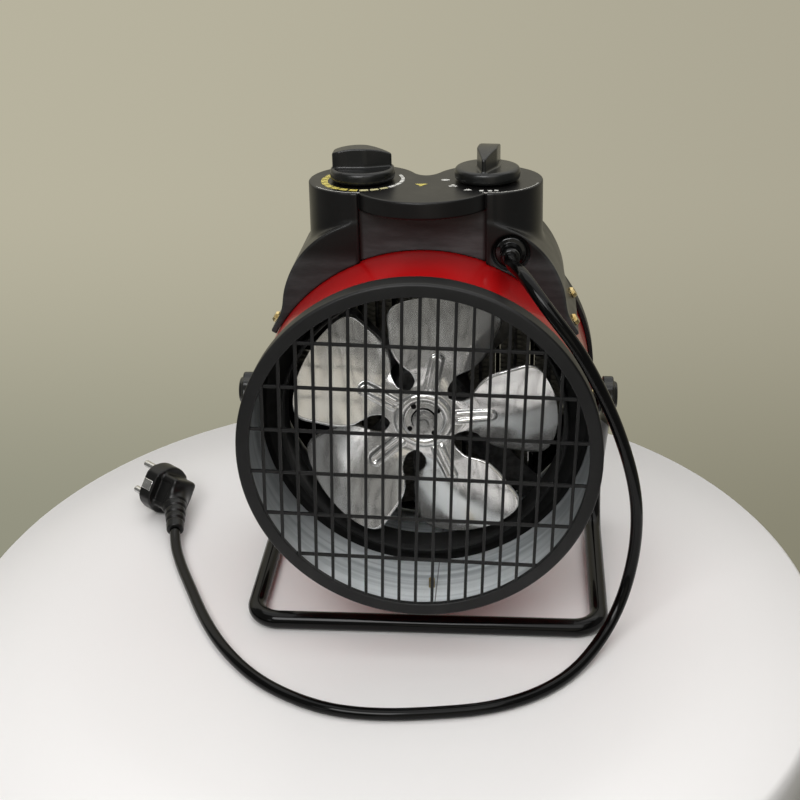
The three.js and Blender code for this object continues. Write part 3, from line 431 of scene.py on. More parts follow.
# %% Paints
class Paint:
    """One material, with its Principled shader and the piece's own coordinates."""

    def __init__(self, name):
        self.material = bpy.data.materials.new(name)
        self.material.use_nodes = True
        self.tree = self.material.node_tree
        self.shader = self.tree.nodes["Principled BSDF"]
        self.place = self.add("ShaderNodeTexCoord", output="Object")

    def add(self, kind, settings=(), inputs=(), output=0):
        """Any node: its settings first, then the values or links it takes."""
        node = self.tree.nodes.new(kind)
        for name, value in dict(settings).items():
            setattr(node, name, value)
        for name, value in dict(inputs).items():
            self.feed(node.inputs[name], value)
        return Signal(self, node.outputs[output])

    def feed(self, socket, value):
        if isinstance(value, Signal):
            self.tree.links.new(value.socket, socket)
        else:
            socket.default_value = value

    def stretched(self, share):
        """The place with each coordinate multiplied by its own share."""
        values = {0: self.place, 1: share}
        return self.add("ShaderNodeVectorMath", {"operation": "MULTIPLY"}, values)

    def noise(self, scale, detail=3.0, roughness=0.5, place=None):
        values = {"Vector": place or self.place, "Scale": scale, "Detail": detail}
        return self.add("ShaderNodeTexNoise", (), values | {"Roughness": roughness})

    def mix(self, factor, first, second):
        values = {0: factor, 6: first, 7: second}
        return self.add("ShaderNodeMix", {"data_type": "RGBA"}, values, 2)

    def bump(self, height, depth):
        """Relief: the height signal times the depth in metres."""
        values = {"Strength": 1.0, "Distance": depth, "Height": height}
        return self.add("ShaderNodeBump", (), values)

    def coordinate(self, axis):
        return self.add("ShaderNodeSeparateXYZ", (), {0: self.place}, axis)

    def finish(self, **sockets):
        for name, value in sockets.items():
            self.feed(self.shader.inputs[name.replace("_", " ")], value)
        return self.material


def grey(level):
    return (level, level, level, 1.0)


# %% [markdown]
# ## Finishes
#
# The mouldings are black plastic with a fine satin grain. Handling leaves them a little smoother
# in places, so a slow noise drives the roughness. The box's front faces are painted paler than
# its towers, a painted sheen for the light they catch from the front, and a mask from the piece's
# own coordinates puts that where it belongs without an image.

# %% Painted sheen on the front
BLOCK_EDGE, SHOULDER_EDGE = (0.0345**2, 0.0325**2), (0.0360**2, 0.0380**2)
FRONT_DEPTH = (0.0650, 0.0642)


def painted_front_sheen(paint):
    """Mask of a painted sheen on the box's front face, in metres: the block between the towers
    and, weaker, the shoulders below them, blotched and fading upwards."""
    across, height = paint.coordinate(0), paint.coordinate(2)
    depth = paint.coordinate(1) * INTO[1] + height * INTO[2] - float(GRILLE_CENTRE @ INTO)
    block = (across * across).clamp(*BLOCK_EDGE) * height.clamp(0.249, 0.244)
    shoulder = (across * across).clamp(*SHOULDER_EDGE) * height.clamp(0.226, 0.216)
    face = depth.clamp(*FRONT_DEPTH) * (block + shoulder * 0.55)
    blotch = paint.noise(55.0, 6.0, 0.7, paint.stretched((0.35, 1.0, 1.6))).clamp(0.36, 0.72)
    fade = height.clamp(0.250, 0.215)
    return face * (blotch * 0.6 + 0.4) * (fade * 0.6 + 0.4)


# %% Satin plastics
def satin_plastic(name, low, high, gloss, grain, shine, front_sheen_colour=None):
    """Two near colours mixed by wear, which also takes a little roughness off."""
    paint = Paint(name)
    slow = paint.noise(38.0, 4.0, 0.6)
    fine = paint.noise(2600.0, 2.0)
    streak = paint.noise(90.0, 5.0, 0.65, paint.stretched((1.0, 1.0, 0.16)))
    wear = (slow * 0.6 + streak * 0.4).clamp(0.42, 0.68)
    colour = paint.mix(wear, (*low, 1), (*high, 1))
    # front_sheen_colour paints the front faces paler: a painted sheen for the light they catch
    # from the front.
    if front_sheen_colour:
        colour = paint.mix(painted_front_sheen(paint), colour, (*front_sheen_colour, 1))
    return paint.finish(
        Base_Color=colour,
        Roughness=wear * -0.06 + gloss,
        Normal=paint.bump(fine, grain),
        Specular_IOR_Level=shine,
    )


black_moulding = satin_plastic(
    "black moulding", (0.0035, 0.0034, 0.0033), (0.0065, 0.0062, 0.0060),
    gloss=0.36, grain=0.000006, shine=0.36, front_sheen_colour=(0.078, 0.080, 0.081),
)
grille_moulding = satin_plastic(
    "grille moulding", (0.0090, 0.0090, 0.0092), (0.0135, 0.0135, 0.0137),
    gloss=0.46, grain=0.000008, shine=0.3,
)
knob_moulding = satin_plastic(
    "knob moulding", (0.0055, 0.0062, 0.0058), (0.0105, 0.0100, 0.0094),
    gloss=0.31, grain=0.000005, shine=0.45,
)
plug_black = satin_plastic(
    "plug moulding", (0.0050, 0.0050, 0.0048), (0.0080, 0.0080, 0.0078),
    gloss=0.34, grain=0.000005, shine=0.3,
)
# The depth where the painted front sheen begins.
print("front of the box rubbed at depths below", FRONT_DEPTH[0], "m")

# %% [markdown]
# The casing is rolled steel, sprayed red outside. Gloss enamel is a base colour under a thin
# clear coat, with slow clouds in its colour and roughness. Inside, the sheet is bare and brushed
# round the drum, with small specks and a fold that runs along the seam. Higher up the inside, its
# colour is painted darker: painted shade, for the wall is lit less there.

# %% Red enamel and bare inner wall
FOLD_X, FOLD_EDGE = 7.8, (0.4**2, 0.2**2)


def red_enamel():
    paint = Paint("red enamel")
    cloud = paint.noise(14.0, 2.0).clamp(0.35, 0.7)
    return paint.finish(
        Base_Color=paint.mix(cloud, (0.430, 0.0052, 0.0060, 1), (0.350, 0.0040, 0.0048, 1)),
        Roughness=cloud * 0.05 + 0.30,
        Specular_IOR_Level=0.18,
        Coat_Weight=0.3,
        Coat_Roughness=0.05,
    )


def bare_wall():
    paint = Paint("bare inner wall")
    bands = paint.noise(34.0, 2.0, 0.5, paint.stretched((0.1, 5.0, 0.1)))
    specks = paint.noise(900.0, 2.0).clamp(0.64, 0.78)
    tone = bands.clamp(0.32, 0.62)
    colour = paint.mix(tone, (0.52, 0.56, 0.58, 1), (0.90, 0.94, 0.96, 1))
    off_fold = paint.coordinate(0) * 1000.0 - FOLD_X
    colour = paint.mix((off_fold * off_fold).clamp(*FOLD_EDGE) * 0.8, colour, grey(0.1))
    # Painted shade: the wall's colour darkens higher up, where less light reaches it.
    painted_shade_higher_up = paint.coordinate(2).clamp(0.036, 0.080) * 0.62
    colour = paint.mix(painted_shade_higher_up, colour, (0.14, 0.15, 0.15, 1))
    return paint.finish(
        Base_Color=paint.mix(specks * 0.3, colour, (0.3, 0.32, 0.33, 1)),
        Metallic=0.1,
        Roughness=tone * 0.1 + 0.3,
        Normal=paint.bump(bands, 0.0004),
    )


red_lacquer = red_enamel()
inner_wall = bare_wall()
print("casing finishes:", red_lacquer.name, "and", inner_wall.name)

# %% [markdown]
# The fan is pressed from soft bright sheet. The rollers and the press leave
# long smears, which show as wavy reflections rather than as colour, so they go
# into the relief. The other metals differ only in tone and gloss, and one
# function makes them all.


# %% Metals
def bright_sheet_metal():
    paint = Paint("bright pressed sheet")
    smear = paint.noise(18.0, 2.0, 0.5, paint.stretched((1.3, 0.4, 0.8)))
    grease = paint.noise(60.0, 4.0, 0.6, paint.stretched((1.6, 1.0, 0.5)))
    haze = grease.clamp(0.38, 0.66)
    return paint.finish(
        Base_Color=paint.mix(haze, (0.80, 0.79, 0.77, 1), (0.93, 0.93, 0.92, 1)),
        Metallic=0.82,
        Roughness=haze * 0.10 + 0.13,
        Normal=paint.bump(smear, 0.0022),
    )


def plain_metal(name, dark, light, gloss):
    paint = Paint(name)
    mottle = paint.noise(240.0, 4.0, 0.6)
    return paint.finish(
        Base_Color=paint.mix(mottle.clamp(0.35, 0.65), dark, light),
        Metallic=1.0,
        Roughness=mottle * 0.18 + gloss,
        Normal=paint.bump(mottle, 0.00002),
    )


bright_sheet = bright_sheet_metal()
turned_steel = plain_metal("turned steel", grey(0.36), grey(0.55), 0.16)
dark_steel = plain_metal("dark plated steel", grey(0.10), grey(0.17), 0.34)
yellow_zinc = plain_metal("yellow zinc plate", (0.42, 0.29, 0.10, 1), (0.68, 0.56, 0.30, 1), 0.22)
nickel = plain_metal("nickel plate", grey(0.62), grey(0.78), 0.12)
fin_black = plain_metal("blackened fins", grey(0.08), grey(0.18), 0.32)
print("finishes so far:", len(bpy.data.materials))

# %% [markdown]
# The stand is powder coated, the lead has a smooth sheath and the heater's frame
# is stove black. All of them are a near-black base that differs in gloss, with
# or without a coat, and a faint peel. The switch's body is pale plastic.


# %% Black enamels, sheath and pale plastic
def black_gloss(name, level, gloss, coat, shine=0.15):
    paint = Paint(name)
    slow = paint.noise(70.0, 3.0)
    peel = paint.noise(650.0, 2.0)
    return paint.finish(
        Base_Color=paint.mix(slow.clamp(0.4, 0.6), grey(level), grey(level * 1.5)),
        Roughness=slow * 0.08 + gloss,
        Specular_IOR_Level=shine,
        Coat_Weight=coat,
        Coat_Roughness=0.05,
        Normal=paint.bump(peel, 0.000006),
    )


def pale_plastic():
    paint = Paint("switch plastic")
    slow = paint.noise(60.0)
    pale = paint.mix(slow.clamp(0.4, 0.6), (0.62, 0.59, 0.5, 1), (0.7, 0.67, 0.58, 1))
    return paint.finish(Base_Color=pale, Roughness=slow * 0.1 + 0.45)


stand_enamel = black_gloss("black stand enamel", 0.0016, 0.16, 0.30, 0.07)
shroud_paint = black_gloss("black shroud paint", 0.012, 0.45, 0.0)
cord_sheath = black_gloss("cord sheath", 0.0012, 0.14, 0.22, 0.08)
gland_gloss = black_gloss("gland moulding", 0.0020, 0.12, 0.5)
heater_black = black_gloss("heater frame", 0.003, 0.55, 0.0, 0.1)
switch_plastic = pale_plastic()
print("finishes:", len(bpy.data.materials))

# %% [markdown]
# ## The mains lead
#
# The photograph shows the whole lead: out of the gland, down beside the drum,
# once round on the table and up to its plug. It could be a Bezier curve shaped
# by hand. Here it is a smooth curve through measured stops, because its length
# can then be worked out and its tightest bend eased.


# %% Curves for the lead
def smooth_route(stops, steps):
    """Centripetal Catmull-Rom curve: the knots lie apart by the square root of
    the distance between stops, and each stretch is a cubic from end slopes."""
    stops = np.asarray(stops, float)
    stops = np.vstack([2 * stops[0] - stops[1], stops, 2 * stops[-1] - stops[-2]])
    a, b, c, d = (stops[k : len(stops) - 3 + k, None] for k in range(4))
    first, second, third = (
        np.linalg.norm(q - p, axis=-1, keepdims=True) ** 0.5 for p, q in ((a, b), (b, c), (c, d))
    )
    leave = ((b - a) / first - (c - a) / (first + second) + (c - b) / second) * second
    arrive = ((c - b) / second - (d - b) / (second + third) + (d - c) / third) * second
    t = np.linspace(0, 1, steps, endpoint=False)[None, :, None]
    curve = (2 * t**3 - 3 * t**2 + 1) * b + (t**3 - 2 * t**2 + t) * leave
    curve = curve + (3 * t**2 - 2 * t**3) * c + (t**3 - t**2) * arrive
    return np.vstack([curve.reshape(-1, 3), stops[-2]])


def eased_route(path, step, rounds):
    """The path in even steps, each point drawn to its neighbours' middle a few
    times, so that no bend is sharper than the sheath allows."""
    walked = np.concatenate([[0], np.cumsum(np.linalg.norm(np.diff(path, axis=0), axis=1))])
    even = np.linspace(0, walked[-1], int(walked[-1] / step) + 1)
    path = np.column_stack([np.interp(even, walked, line) for line in path.T])
    for _ in range(rounds):
        path[2:-2] = (path[1:-3] + 2 * path[2:-2] + path[3:-1]) / 4
    return path


# %% Stops of the lead
CORD_RADIUS = 3.5
CORD_STEP, CORD_ROUNDS = 2.0, 30
CORD_STRAIGHT = 10
STEPS_BETWEEN_STOPS = 14
GLAND = (48.7, 97.0)
GLAND_TIP = 51.0
PLUG_FACE = np.array([-193.7, 152.0, 17.3])
PIN_WAY = unit([-0.78, 0.62, 0.0])
PIN_ROW = np.array([-0.36, -0.45, -0.82])
PIN_ROW = unit(PIN_ROW - PIN_WAY * (PIN_ROW @ PIN_WAY))
PLUG_SIDE = np.cross(PIN_WAY, PIN_ROW)
NECK_WAY = unit([0.18, -0.95, -0.25])
NECK_ROOT = PLUG_FACE - 20 * PIN_WAY
NECK_LENGTH = 33
CORD_STOPS = [
    [54.3, 28, 229], [60.5, 16.5, 224.5], [69.5, 9, 214], [82.6, 5, 197.9],
    [96.8, 6, 171.2], [107.4, 10, 145], [117.5, 17, 110], [121.8, 24, 79],
    [120.6, 26, 47], [113.5, 18, 22], [101.4, 2, 8], [85.2, -20.8, 4],
    [65.4, -38.9, 3.9], [40.7, -51, 3.9], [13.6, -56.4, 3.9], [-19.1, -59.7, 3.9],
    [-47, -57, 3.9], [-70.8, -47.4, 3.9], [-93.4, -32.2, 3.9], [-115.6, -7.9, 3.9],
    [-133.5, 20, 3.9], [-149.5, 52, 3.9], [-162, 78, 4.1],
]
gland_mouth = in_drum((GLAND[0], GLAND_TIP, GLAND[1]))
cord_end = NECK_ROOT + NECK_WAY * NECK_LENGTH
all_stops = np.vstack([
    gland_mouth,
    gland_mouth - INTO * CORD_STRAIGHT * MM,
    on_table(CORD_STOPS),
    on_table(cord_end + NECK_WAY * CORD_STRAIGHT),
    on_table(cord_end),
])
cord_path = eased_route(smooth_route(all_stops, STEPS_BETWEEN_STOPS), CORD_STEP * MM, CORD_ROUNDS)

# %% [markdown]
# The sheath is a round tube along that route. A curve's own bevel would do, but
# a swept circle is a mesh from the start, like every other piece.

# %% The lead itself
cord_section = CORD_RADIUS * MM * circle(full_turn(20))
cord = make_piece(
    "mains_lead", None, swept(cord_path, cord_section), cord_sheath, ["power_cord"],
    place=np.asarray,
)

# %% [markdown]
# ## The plug
#
# A moulded angled plug: a round face with flats, a body that bends the lead
# away, and a ribbed sleeve that tapers towards it. It is a distance formula in
# two sets of axes, one along the pins and one along the sleeve, because they
# run into each other without an edge.

# %% Plug body
SLEEVE_RADIUS, SLEEVE_TAPER = 8.3, 2.7
GROOVE_DEPTH, GROOVE_PITCH, GROOVE_START = 0.75, 5.4, 9.5
PLUG_STEP = 0.55


def plug_distance(x, y, z):
    """Face disc and back block joined softly, sleeve with grooves joined to
    them: each part is the larger of the distances to its sides."""
    place = np.stack(np.broadcast_arrays(x, y, z), axis=-1) - PLUG_FACE
    side, along, row = np.abs(place @ PLUG_SIDE), place @ PIN_WAY, place @ PIN_ROW
    face = soft_max(np.hypot(side, row) - 16.8, np.abs(along + 6.2) - 5.9, 1.6)
    face = soft_max(face, side - 14.6, 1.0)
    block = soft_max(side - 10.2, np.abs(row) - 11.6, 3.0)
    block = soft_max(block, np.abs(along + 13) - 12.8, 3.0)
    hollow = soft_max(9.2 - side, np.abs(row) - 7.4, 1.0)
    hollow = soft_max(hollow, np.abs(along + 17) - 5.4, 1.0)
    neck = place - (NECK_ROOT - PLUG_FACE)
    down = neck @ NECK_WAY
    across = np.sqrt(np.maximum(np.sum(neck * neck, axis=-1) - down * down, 1e-9))
    taper = SLEEVE_RADIUS - SLEEVE_TAPER * np.clip(down / NECK_LENGTH, 0, 1)
    wave = np.cos((down - GROOVE_START) * 2 * np.pi / GROOVE_PITCH)
    grooves = GROOVE_DEPTH * np.clip(wave * 2 - 0.4, 0, 1)
    ribbed = np.clip((down - 8) / 2, 0, 1) * np.clip((30 - down) / 1.5, 0, 1)
    sleeve = soft_max(across - taper + grooves * ribbed, np.abs(down - 13.5) - 19.4, 1.2)
    body = soft_min(soft_min(face, block, 3.0), sleeve, 4.0)
    return soft_max(body, -hollow, 0.8)


# %% Plug moulding
reach_points = np.vstack([
    middle + np.array([[-reach] * 3, [reach] * 3])
    for middle, reach in ((PLUG_FACE, 18), (PLUG_FACE - 27 * PIN_WAY, 13), (cord_end, 9))
])
plug_shape = moulded(
    plug_distance, reach_points.min(axis=0), reach_points.max(axis=0), PLUG_STEP
)
make_piece(
    "plug_moulding", "stand", plug_shape, plug_black, ["plug_body"], NO_CREASE, on_table
)

# %% [markdown]
# The pins are turned pieces on the plug's own axes, and the earth contact is a
# bent strip in the flat side of the face.


# %% Pins and earth contact
def on_plug(points):
    """Places in metres of (side, along the pins, pin row) points."""
    axes = np.array([PLUG_SIDE, PIN_WAY, PIN_ROW])
    return on_table(PLUG_FACE + np.asarray(points, float) @ axes)


PIN_RADIUS, PIN_LENGTH, PIN_SPACING, PIN_ROOT = 2.4, 19, 19, -1.2
pin_profile = rounded(band(0, PIN_RADIUS, PIN_ROOT, PIN_LENGTH), (0.1, 0.1, 1.5, 0.1))
for number, place in enumerate((-1, 1), start=1):
    pin = moved(turned(pin_profile, 32), (0, 0, place * PIN_SPACING / 2))
    make_piece(
        f"plug_pin_{number}_turned", "stand", pin, nickel, [f"plug_pin_{number}"], place=on_plug
    )

strip = rounded(band(14.2, 15.4, -10.2, -1.6), 0.4)
contact = np.stack([
    np.column_stack([strip[:, 0] + lift, strip[:, 1], np.full(len(strip), across)])
    for across, lift in ((-3.5, -0.3), (-3.2, 0), (3.2, 0), (3.5, -0.3))
])
make_piece(
    "plug_earth_contact", "stand", capped(contact), nickel, ["plug_earth_clip"], place=on_plug
)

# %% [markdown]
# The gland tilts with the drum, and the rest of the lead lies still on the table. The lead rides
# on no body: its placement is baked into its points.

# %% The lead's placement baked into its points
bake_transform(cord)

# %% [markdown]
# ## Table, wall and light
#
# A round white table stands in front of a wall that is warm grey above and
# darker below. The wall glows in its own colour for the camera and for
# reflections and is plain grey to all other light, so it can be matched to the
# photograph without tinting the heater.


# %% Wall paint
def wall_paint():
    """Four colours mixed by place and a brighter glow high up, seen only by the camera and
    reflections.
    """
    paint = Paint("grey wall")
    seen = paint.add("ShaderNodeLightPath")
    glossy = Signal(paint, seen.socket.node.outputs["Is Glossy Ray"])
    across, height = paint.coordinate(0).clamp(-0.75, 0.75), paint.coordinate(2)
    above = paint.mix(across, (0.478, 0.450, 0.345, 1), (0.400, 0.375, 0.288, 1))
    below = paint.mix(across, (0.290, 0.285, 0.215, 1), (0.238, 0.226, 0.163, 1))
    colour = paint.mix(height.clamp(-0.74, -0.10), below, above)
    # Painted light: high up, out of the camera's view, the wall glows brighter than its colour,
    # so that glossy tops reflect a bright room.
    colour = paint.mix(height.clamp(0.25, 1.3), colour, (1.15, 1.12, 1.02, 1))
    glow = paint.add("ShaderNodeEmission", (), {"Color": colour, "Strength": 1.0})
    plain = paint.add("ShaderNodeBsdfDiffuse", (), {"Color": grey(0.4)})
    values = {0: (seen + glossy).clamp(0.0, 1.0), 1: plain, 2: glow}
    choice = paint.add("ShaderNodeMixShader", (), values)
    paint.feed(paint.tree.nodes["Material Output"].inputs["Surface"], choice)
    return paint.material


# %% Table and wall
TABLE_CENTRE = np.array([-0.0266, -0.0204, 0.0])
TABLE_RADIUS, TABLE_EDGE = 0.264, 0.09
TABLE_RIM = np.array([
    (0, 0), (0.7, 0), (0.985, 0), (0.996, -0.003), (1.0, -0.012), (1.0, -TABLE_EDGE),
    (0, -TABLE_EDGE),
])
WALL_AWAY, WALL_HALF_WIDTH, WALL_HALF_HEIGHT = 1.1, 3, 2

table_paint = Paint("table top").finish(Base_Color=(0.885, 0.866, 0.857, 1), Roughness=0.36)
angle = full_turn(256)
table_grid = np.stack([
    TABLE_RIM[:, :1] * TABLE_RADIUS * np.cos(angle),
    TABLE_RIM[:, :1] * TABLE_RADIUS * np.sin(angle),
    TABLE_RIM[:, 1:] + 0 * angle,
], axis=-1) + TABLE_CENTRE
add_mesh("table", *shell(table_grid, wrap_columns=True), table_paint)
wall_corners = [
    (x * WALL_HALF_WIDTH, WALL_AWAY, z * WALL_HALF_HEIGHT)
    for x, z in ((-1, -1), (1, -1), (1, 1), (-1, 1))
]
add_mesh("wall", wall_corners, [[0, 1, 2, 3]], wall_paint())
print("table radius:", TABLE_RADIUS, "m, wall", WALL_AWAY, "m away")

# %% [markdown]
# Soft light comes from a broad ceiling lamp, a second one further forward and an
# even world. Three smaller areas in front stand for what the blades reflect in
# the photograph: a lamp above the camera, a window and the pale room.

# %% Light
WORLD_COLOUR, WORLD_STRENGTH = (0.80, 0.79, 0.74, 1), 0.24
LAMPS = {
    "ceiling_lamp": ((0.1, 0.3, 1.7), (0, 0.1, 0.1), (2.6, 2.2), 21, (1, 1, 1)),
    "ceiling_in_front": ((0.1, -1.3, 1.4), (0, -0.05, 0.12), (2.0, 1.0), 10, (1, 1, 1)),
    "lamp_above_camera": ((-0.3, -0.95, 1.0), (0, -0.1, 0.05), (0.7, 0.5), 6, (1, 1, 1)),
    "window_at_left": ((-1.2, -1.57, 0.5), (0, 0, 0.12), (0.36, 0.42), 0.6, (1, 1, 1)),
    "room_in_front": ((0.5, -2.5, 0.3), (0, 0, 0.14), (1.6, 1.2), 2.6, (1.0, 0.93, 0.78)),
}

world = bpy.data.worlds.new("room")
world.use_nodes = True
background = world.node_tree.nodes["Background"]
background.inputs["Color"].default_value = WORLD_COLOUR
background.inputs["Strength"].default_value = WORLD_STRENGTH
bpy.context.scene.world = world
for name, (place, aim, size, power, colour) in LAMPS.items():
    data = bpy.data.lights.new(name, "AREA")
    data.shape, data.size, data.size_y = "RECTANGLE", *size
    data.energy, data.color = power, colour
    back = unit(np.subtract(place, aim))
    across = unit(np.cross((0.0, 0.001, 1.0), back))
    thing = bpy.data.objects.new(name, data)
    thing.matrix_world = facing(place, [across, np.cross(back, across), back])
    bpy.context.scene.collection.objects.link(thing)
bpy.context.scene.view_settings.view_transform = "Standard"
print("lamps:", len(LAMPS))

# %% [markdown]
# ## The casing
#
# A rolled steel tube, red outside and bare inside. A cylinder with Solidify
# would need its edges rounded afterwards. One profile carried round the axis
# gives both skins and both rims, and each face takes its finish from the side of
# the wall it lies on.

# %% Casing
CASING_RADIUS, CASING_WALL = 97, 1.2
CASING_BORE = CASING_RADIUS - CASING_WALL
CASING_START, CASING_END, DRUM_LENGTH = 3.5, 135.5, 139
casing_profile = rounded(band(CASING_BORE, CASING_RADIUS, CASING_START, CASING_END), 0.4)
casing = make_piece("casing_tube", "drum", turned(casing_profile, 256), red_lacquer, ["casing"])
casing.data.materials.append(inner_wall)
middle = np.empty(3 * len(casing.data.polygons), np.float32)
casing.data.polygons.foreach_get("center", middle)
middle = (middle.reshape(-1, 3) - GRILLE_CENTRE) / MM
inside = np.hypot(middle @ RIGHT, middle @ UP) < CASING_RADIUS - CASING_WALL / 2
casing.data.polygons.foreach_set("material_index", inside.astype(np.int32))
print("inner faces:", int(inside.sum()), "of", len(inside))

# %% [markdown]
# ## Grilles
#
# Each end has a moulded ring with a rolled outer edge and a skirt over the
# casing. Upright bars lie in front and level bars behind them. A bar is a
# rounded square section between two points of the ring, so all bars of a grille
# are one sweep function and a list of places.

# %% Bars
RING_BORE, RING_RADIUS = 92.5, 100
BAR_REACH, BAR_FIELD, BAR_EDGE = RING_BORE + 1.5, 90, 0.45
BAR_WIDTH, BAR_DEPTH, BAR_PLACE = 1.75, 1.9, 1.35
CROSS_WIDTH, CROSS_DEPTH, CROSS_PLACE = 1.9, 1.6, 2.15
INTAKE_TURN = 1.84
SQUARE = np.array([(-1, -1), (1, -1), (1, 1), (-1, 1)])


def box_bar(start, end, width, depth):
    """A straight bar with rounded edges: its width lies across the grille's
    plane and its depth along the drum."""
    start, end = np.asarray(start, float), np.asarray(end, float)
    path = start + np.linspace(0, 1, 3)[:, None] * (end - start)
    ahead = np.array([0.0, 1.0, 0.0])
    sides = np.tile(np.cross(unit(end - start), ahead), (3, 1)), np.tile(ahead, (3, 1))
    return swept(path, rounded(SQUARE * (width, depth) / 2, BAR_EDGE, 3), sides)


# %% Both grilles
ring_profile = rounded(
    [
        (RING_BORE, 0.3), (92.9, 0.0), (99.0, 0.0), (RING_RADIUS, 1.1), (99.8, 13), (97.35, 13),
        (97.35, 3.2), (RING_BORE, 3.2),
    ],
    (0.2, 0.2, 0.7, 0.8, 0.6, 0.3, 0.5, 0.3),
)


def grille(bar_pitch, cross_pitch, cross_pairs):
    """Ring, upright bars at one pitch and level bars at another. Each bar is
    as long as the ring's chord at its place."""
    pieces = [turned(ring_profile, 256)]
    last = int(BAR_FIELD // bar_pitch)
    for x in np.arange(-last, last + 1) * bar_pitch:
        half = np.sqrt(BAR_REACH**2 - x**2)
        ends = (x, BAR_PLACE, -half), (x, BAR_PLACE, half)
        pieces.append(box_bar(*ends, BAR_WIDTH, BAR_DEPTH))
    for z in (np.arange(-cross_pairs, cross_pairs) + 0.5) * cross_pitch:
        half = np.sqrt(BAR_REACH**2 - z**2)
        ends = (-half, CROSS_PLACE, z), (half, CROSS_PLACE, z)
        pieces.append(box_bar(*ends, CROSS_WIDTH, CROSS_DEPTH))
    return together(*pieces)


intake = about_axis(grille(9.4, 25.6, 3), INTAKE_TURN)
make_piece("intake_grille", "drum", intake, grille_moulding, ["rear_grille"])
outlet_points, outlet_quads = grille(11, 31, 2)
outlet = (outlet_points * (-1, -1, 1) + (0, DRUM_LENGTH, 0), outlet_quads)
make_piece("outlet_guard", "drum", outlet, grille_moulding, ["outlet_grille"])

# %% [markdown]
# ## The pressed fan
#
# Five blades are cut and pressed from one sheet. Each fifth of it is a grid in
# radius and angle. Its outline narrows at the teardrop cut-outs, and its height
# adds the blade's pitch, the round bead of the hub and the U-shaped rib. Half of
# the columns lie near the blade's middle, where the rib needs them. A Solidify
# modifier gives the sheet its thickness.

# %% Blade sheet
BLADES, FIRST_BLADE = 5, 6.3
FAN_RADIUS, FAN_SHEET, FAN_BORE, HUB_RADIUS, HUB_ROWS = 76.5, 1.5, 3.3, 19.4, 26
BLADE_PITCH, BLADE_CAMBER = np.tan(np.radians(18)), 4.0
SECTOR = np.radians(36)
BEAD_HEIGHT, BEAD_RADIUS, BEAD_WIDTH = 2.1, 14.3, 2.2
RIB_HEIGHT, RIB_END, RIB_HALF, FLOOR_HEIGHT = 1.7, 38.2, 2.5, 0.45
OUTLINE = np.array([
    (0.255, 1), (0.285, 0.76), (0.333, 0.635), (0.405, 0.665), (0.458, 0.77), (0.523, 0.875),
    (0.595, 0.91), (0.68, 0.885), (0.784, 0.82), (0.87, 0.78), (0.921, 0.745), (0.961, 0.68),
    (0.983, 0.57), (0.994, 0.4), (1, 0.22),
])


def soft_step(value, low, high):
    """0 below low, 1 above high, 3 s^2 - 2 s^3 between."""
    share = np.clip((value - low) / (high - low), 0, 1)
    return share * share * (3 - 2 * share)


def blade_sheet():
    """One fifth of the fan as (along the blade, across it, height). The outline
    gives the share of the sector that is metal at each radius."""
    edge = smooth_route(np.column_stack([OUTLINE, 0 * OUTLINE[:, 0]]), 10)[:, :2]
    hub = np.linspace(FAN_BORE, HUB_RADIUS, HUB_ROWS)
    radius = np.concatenate([hub, edge[:, 0] * FAN_RADIUS])[:, None]
    reach = np.concatenate([np.ones(HUB_ROWS), edge[:, 1]])[:, None] * SECTOR
    share = np.linspace(-1, 1, 57)[None, :]
    inner = np.minimum(4.6 / radius, reach * 0.5)
    outer = np.sign(share) * (inner + (reach - inner) * (np.abs(share) * 2 - 1))
    angle = np.where(np.abs(share) < 0.5, inner * share * 2, outer)
    along, across = radius * np.cos(angle), radius * np.sin(angle)
    camber = BLADE_CAMBER * soft_step(radius, 24, 60) * (0.35 - (angle / SECTOR) ** 2)
    rise = soft_step(radius, 20, 34) * BLADE_PITCH * across + camber
    bead = BEAD_HEIGHT * np.exp(-(((radius - BEAD_RADIUS) / BEAD_WIDTH) ** 4))
    stadium = np.hypot(np.maximum(along - RIB_END, 0), across)
    off_hub = soft_step(radius, 17, 20)
    wall = np.exp(-(((stadium - RIB_HALF) / 1.0) ** 2)) * off_hub
    floor = FLOOR_HEIGHT * soft_step(2.8 - stadium, 0, 1.4) * off_hub
    dish = 0.15 * soft_step(radius, 4.5, 8)
    height = rise + bead + RIB_HEIGHT * wall + floor + FAN_SHEET / 2 + dish - 0.15
    return along, across, height


# %% Five blades
along, across, height = blade_sheet()
sheets = []
for heading in np.radians(FIRST_BLADE + 360 / BLADES * np.arange(BLADES)):
    right = along * np.cos(heading) - across * np.sin(heading)
    up = along * np.sin(heading) + across * np.cos(heading)
    grid = np.stack([right, FAN_PLANE - height, up], axis=-1)
    sheets.append((grid.reshape(-1, 3), grid_quads(*grid.shape[:2])))
fan = make_piece(
    "pressed_fan", "fan", together(*sheets), bright_sheet, ["fan_impeller"], np.radians(60)
)
thicken = fan.modifiers.new("sheet_thickness", "SOLIDIFY")
thicken.thickness, thicken.offset, thicken.use_even_offset = FAN_SHEET * MM, 0.0, True

# %% [markdown]
# The hub is clamped by a nut on a plain washer. Four small holes and a round groove are pressed
# into it. They are not cut: black discs and a black ring laid just in front of the sheet are
# painted shade for the dark inside the holes and the groove, which spares the sheet's grid a cut.

# %% Washer and hub details
HOLE_CIRCLE, HOLE_RADIUS, MARK_BACK = 10.0, 1.5, 51.2
washer_profile = rounded(band(3.3, 6.7, 49, 50.2), 0.3)
make_piece("fan_plain_washer", "fan", turned(washer_profile, 64), turned_steel, ["fan_washer"])
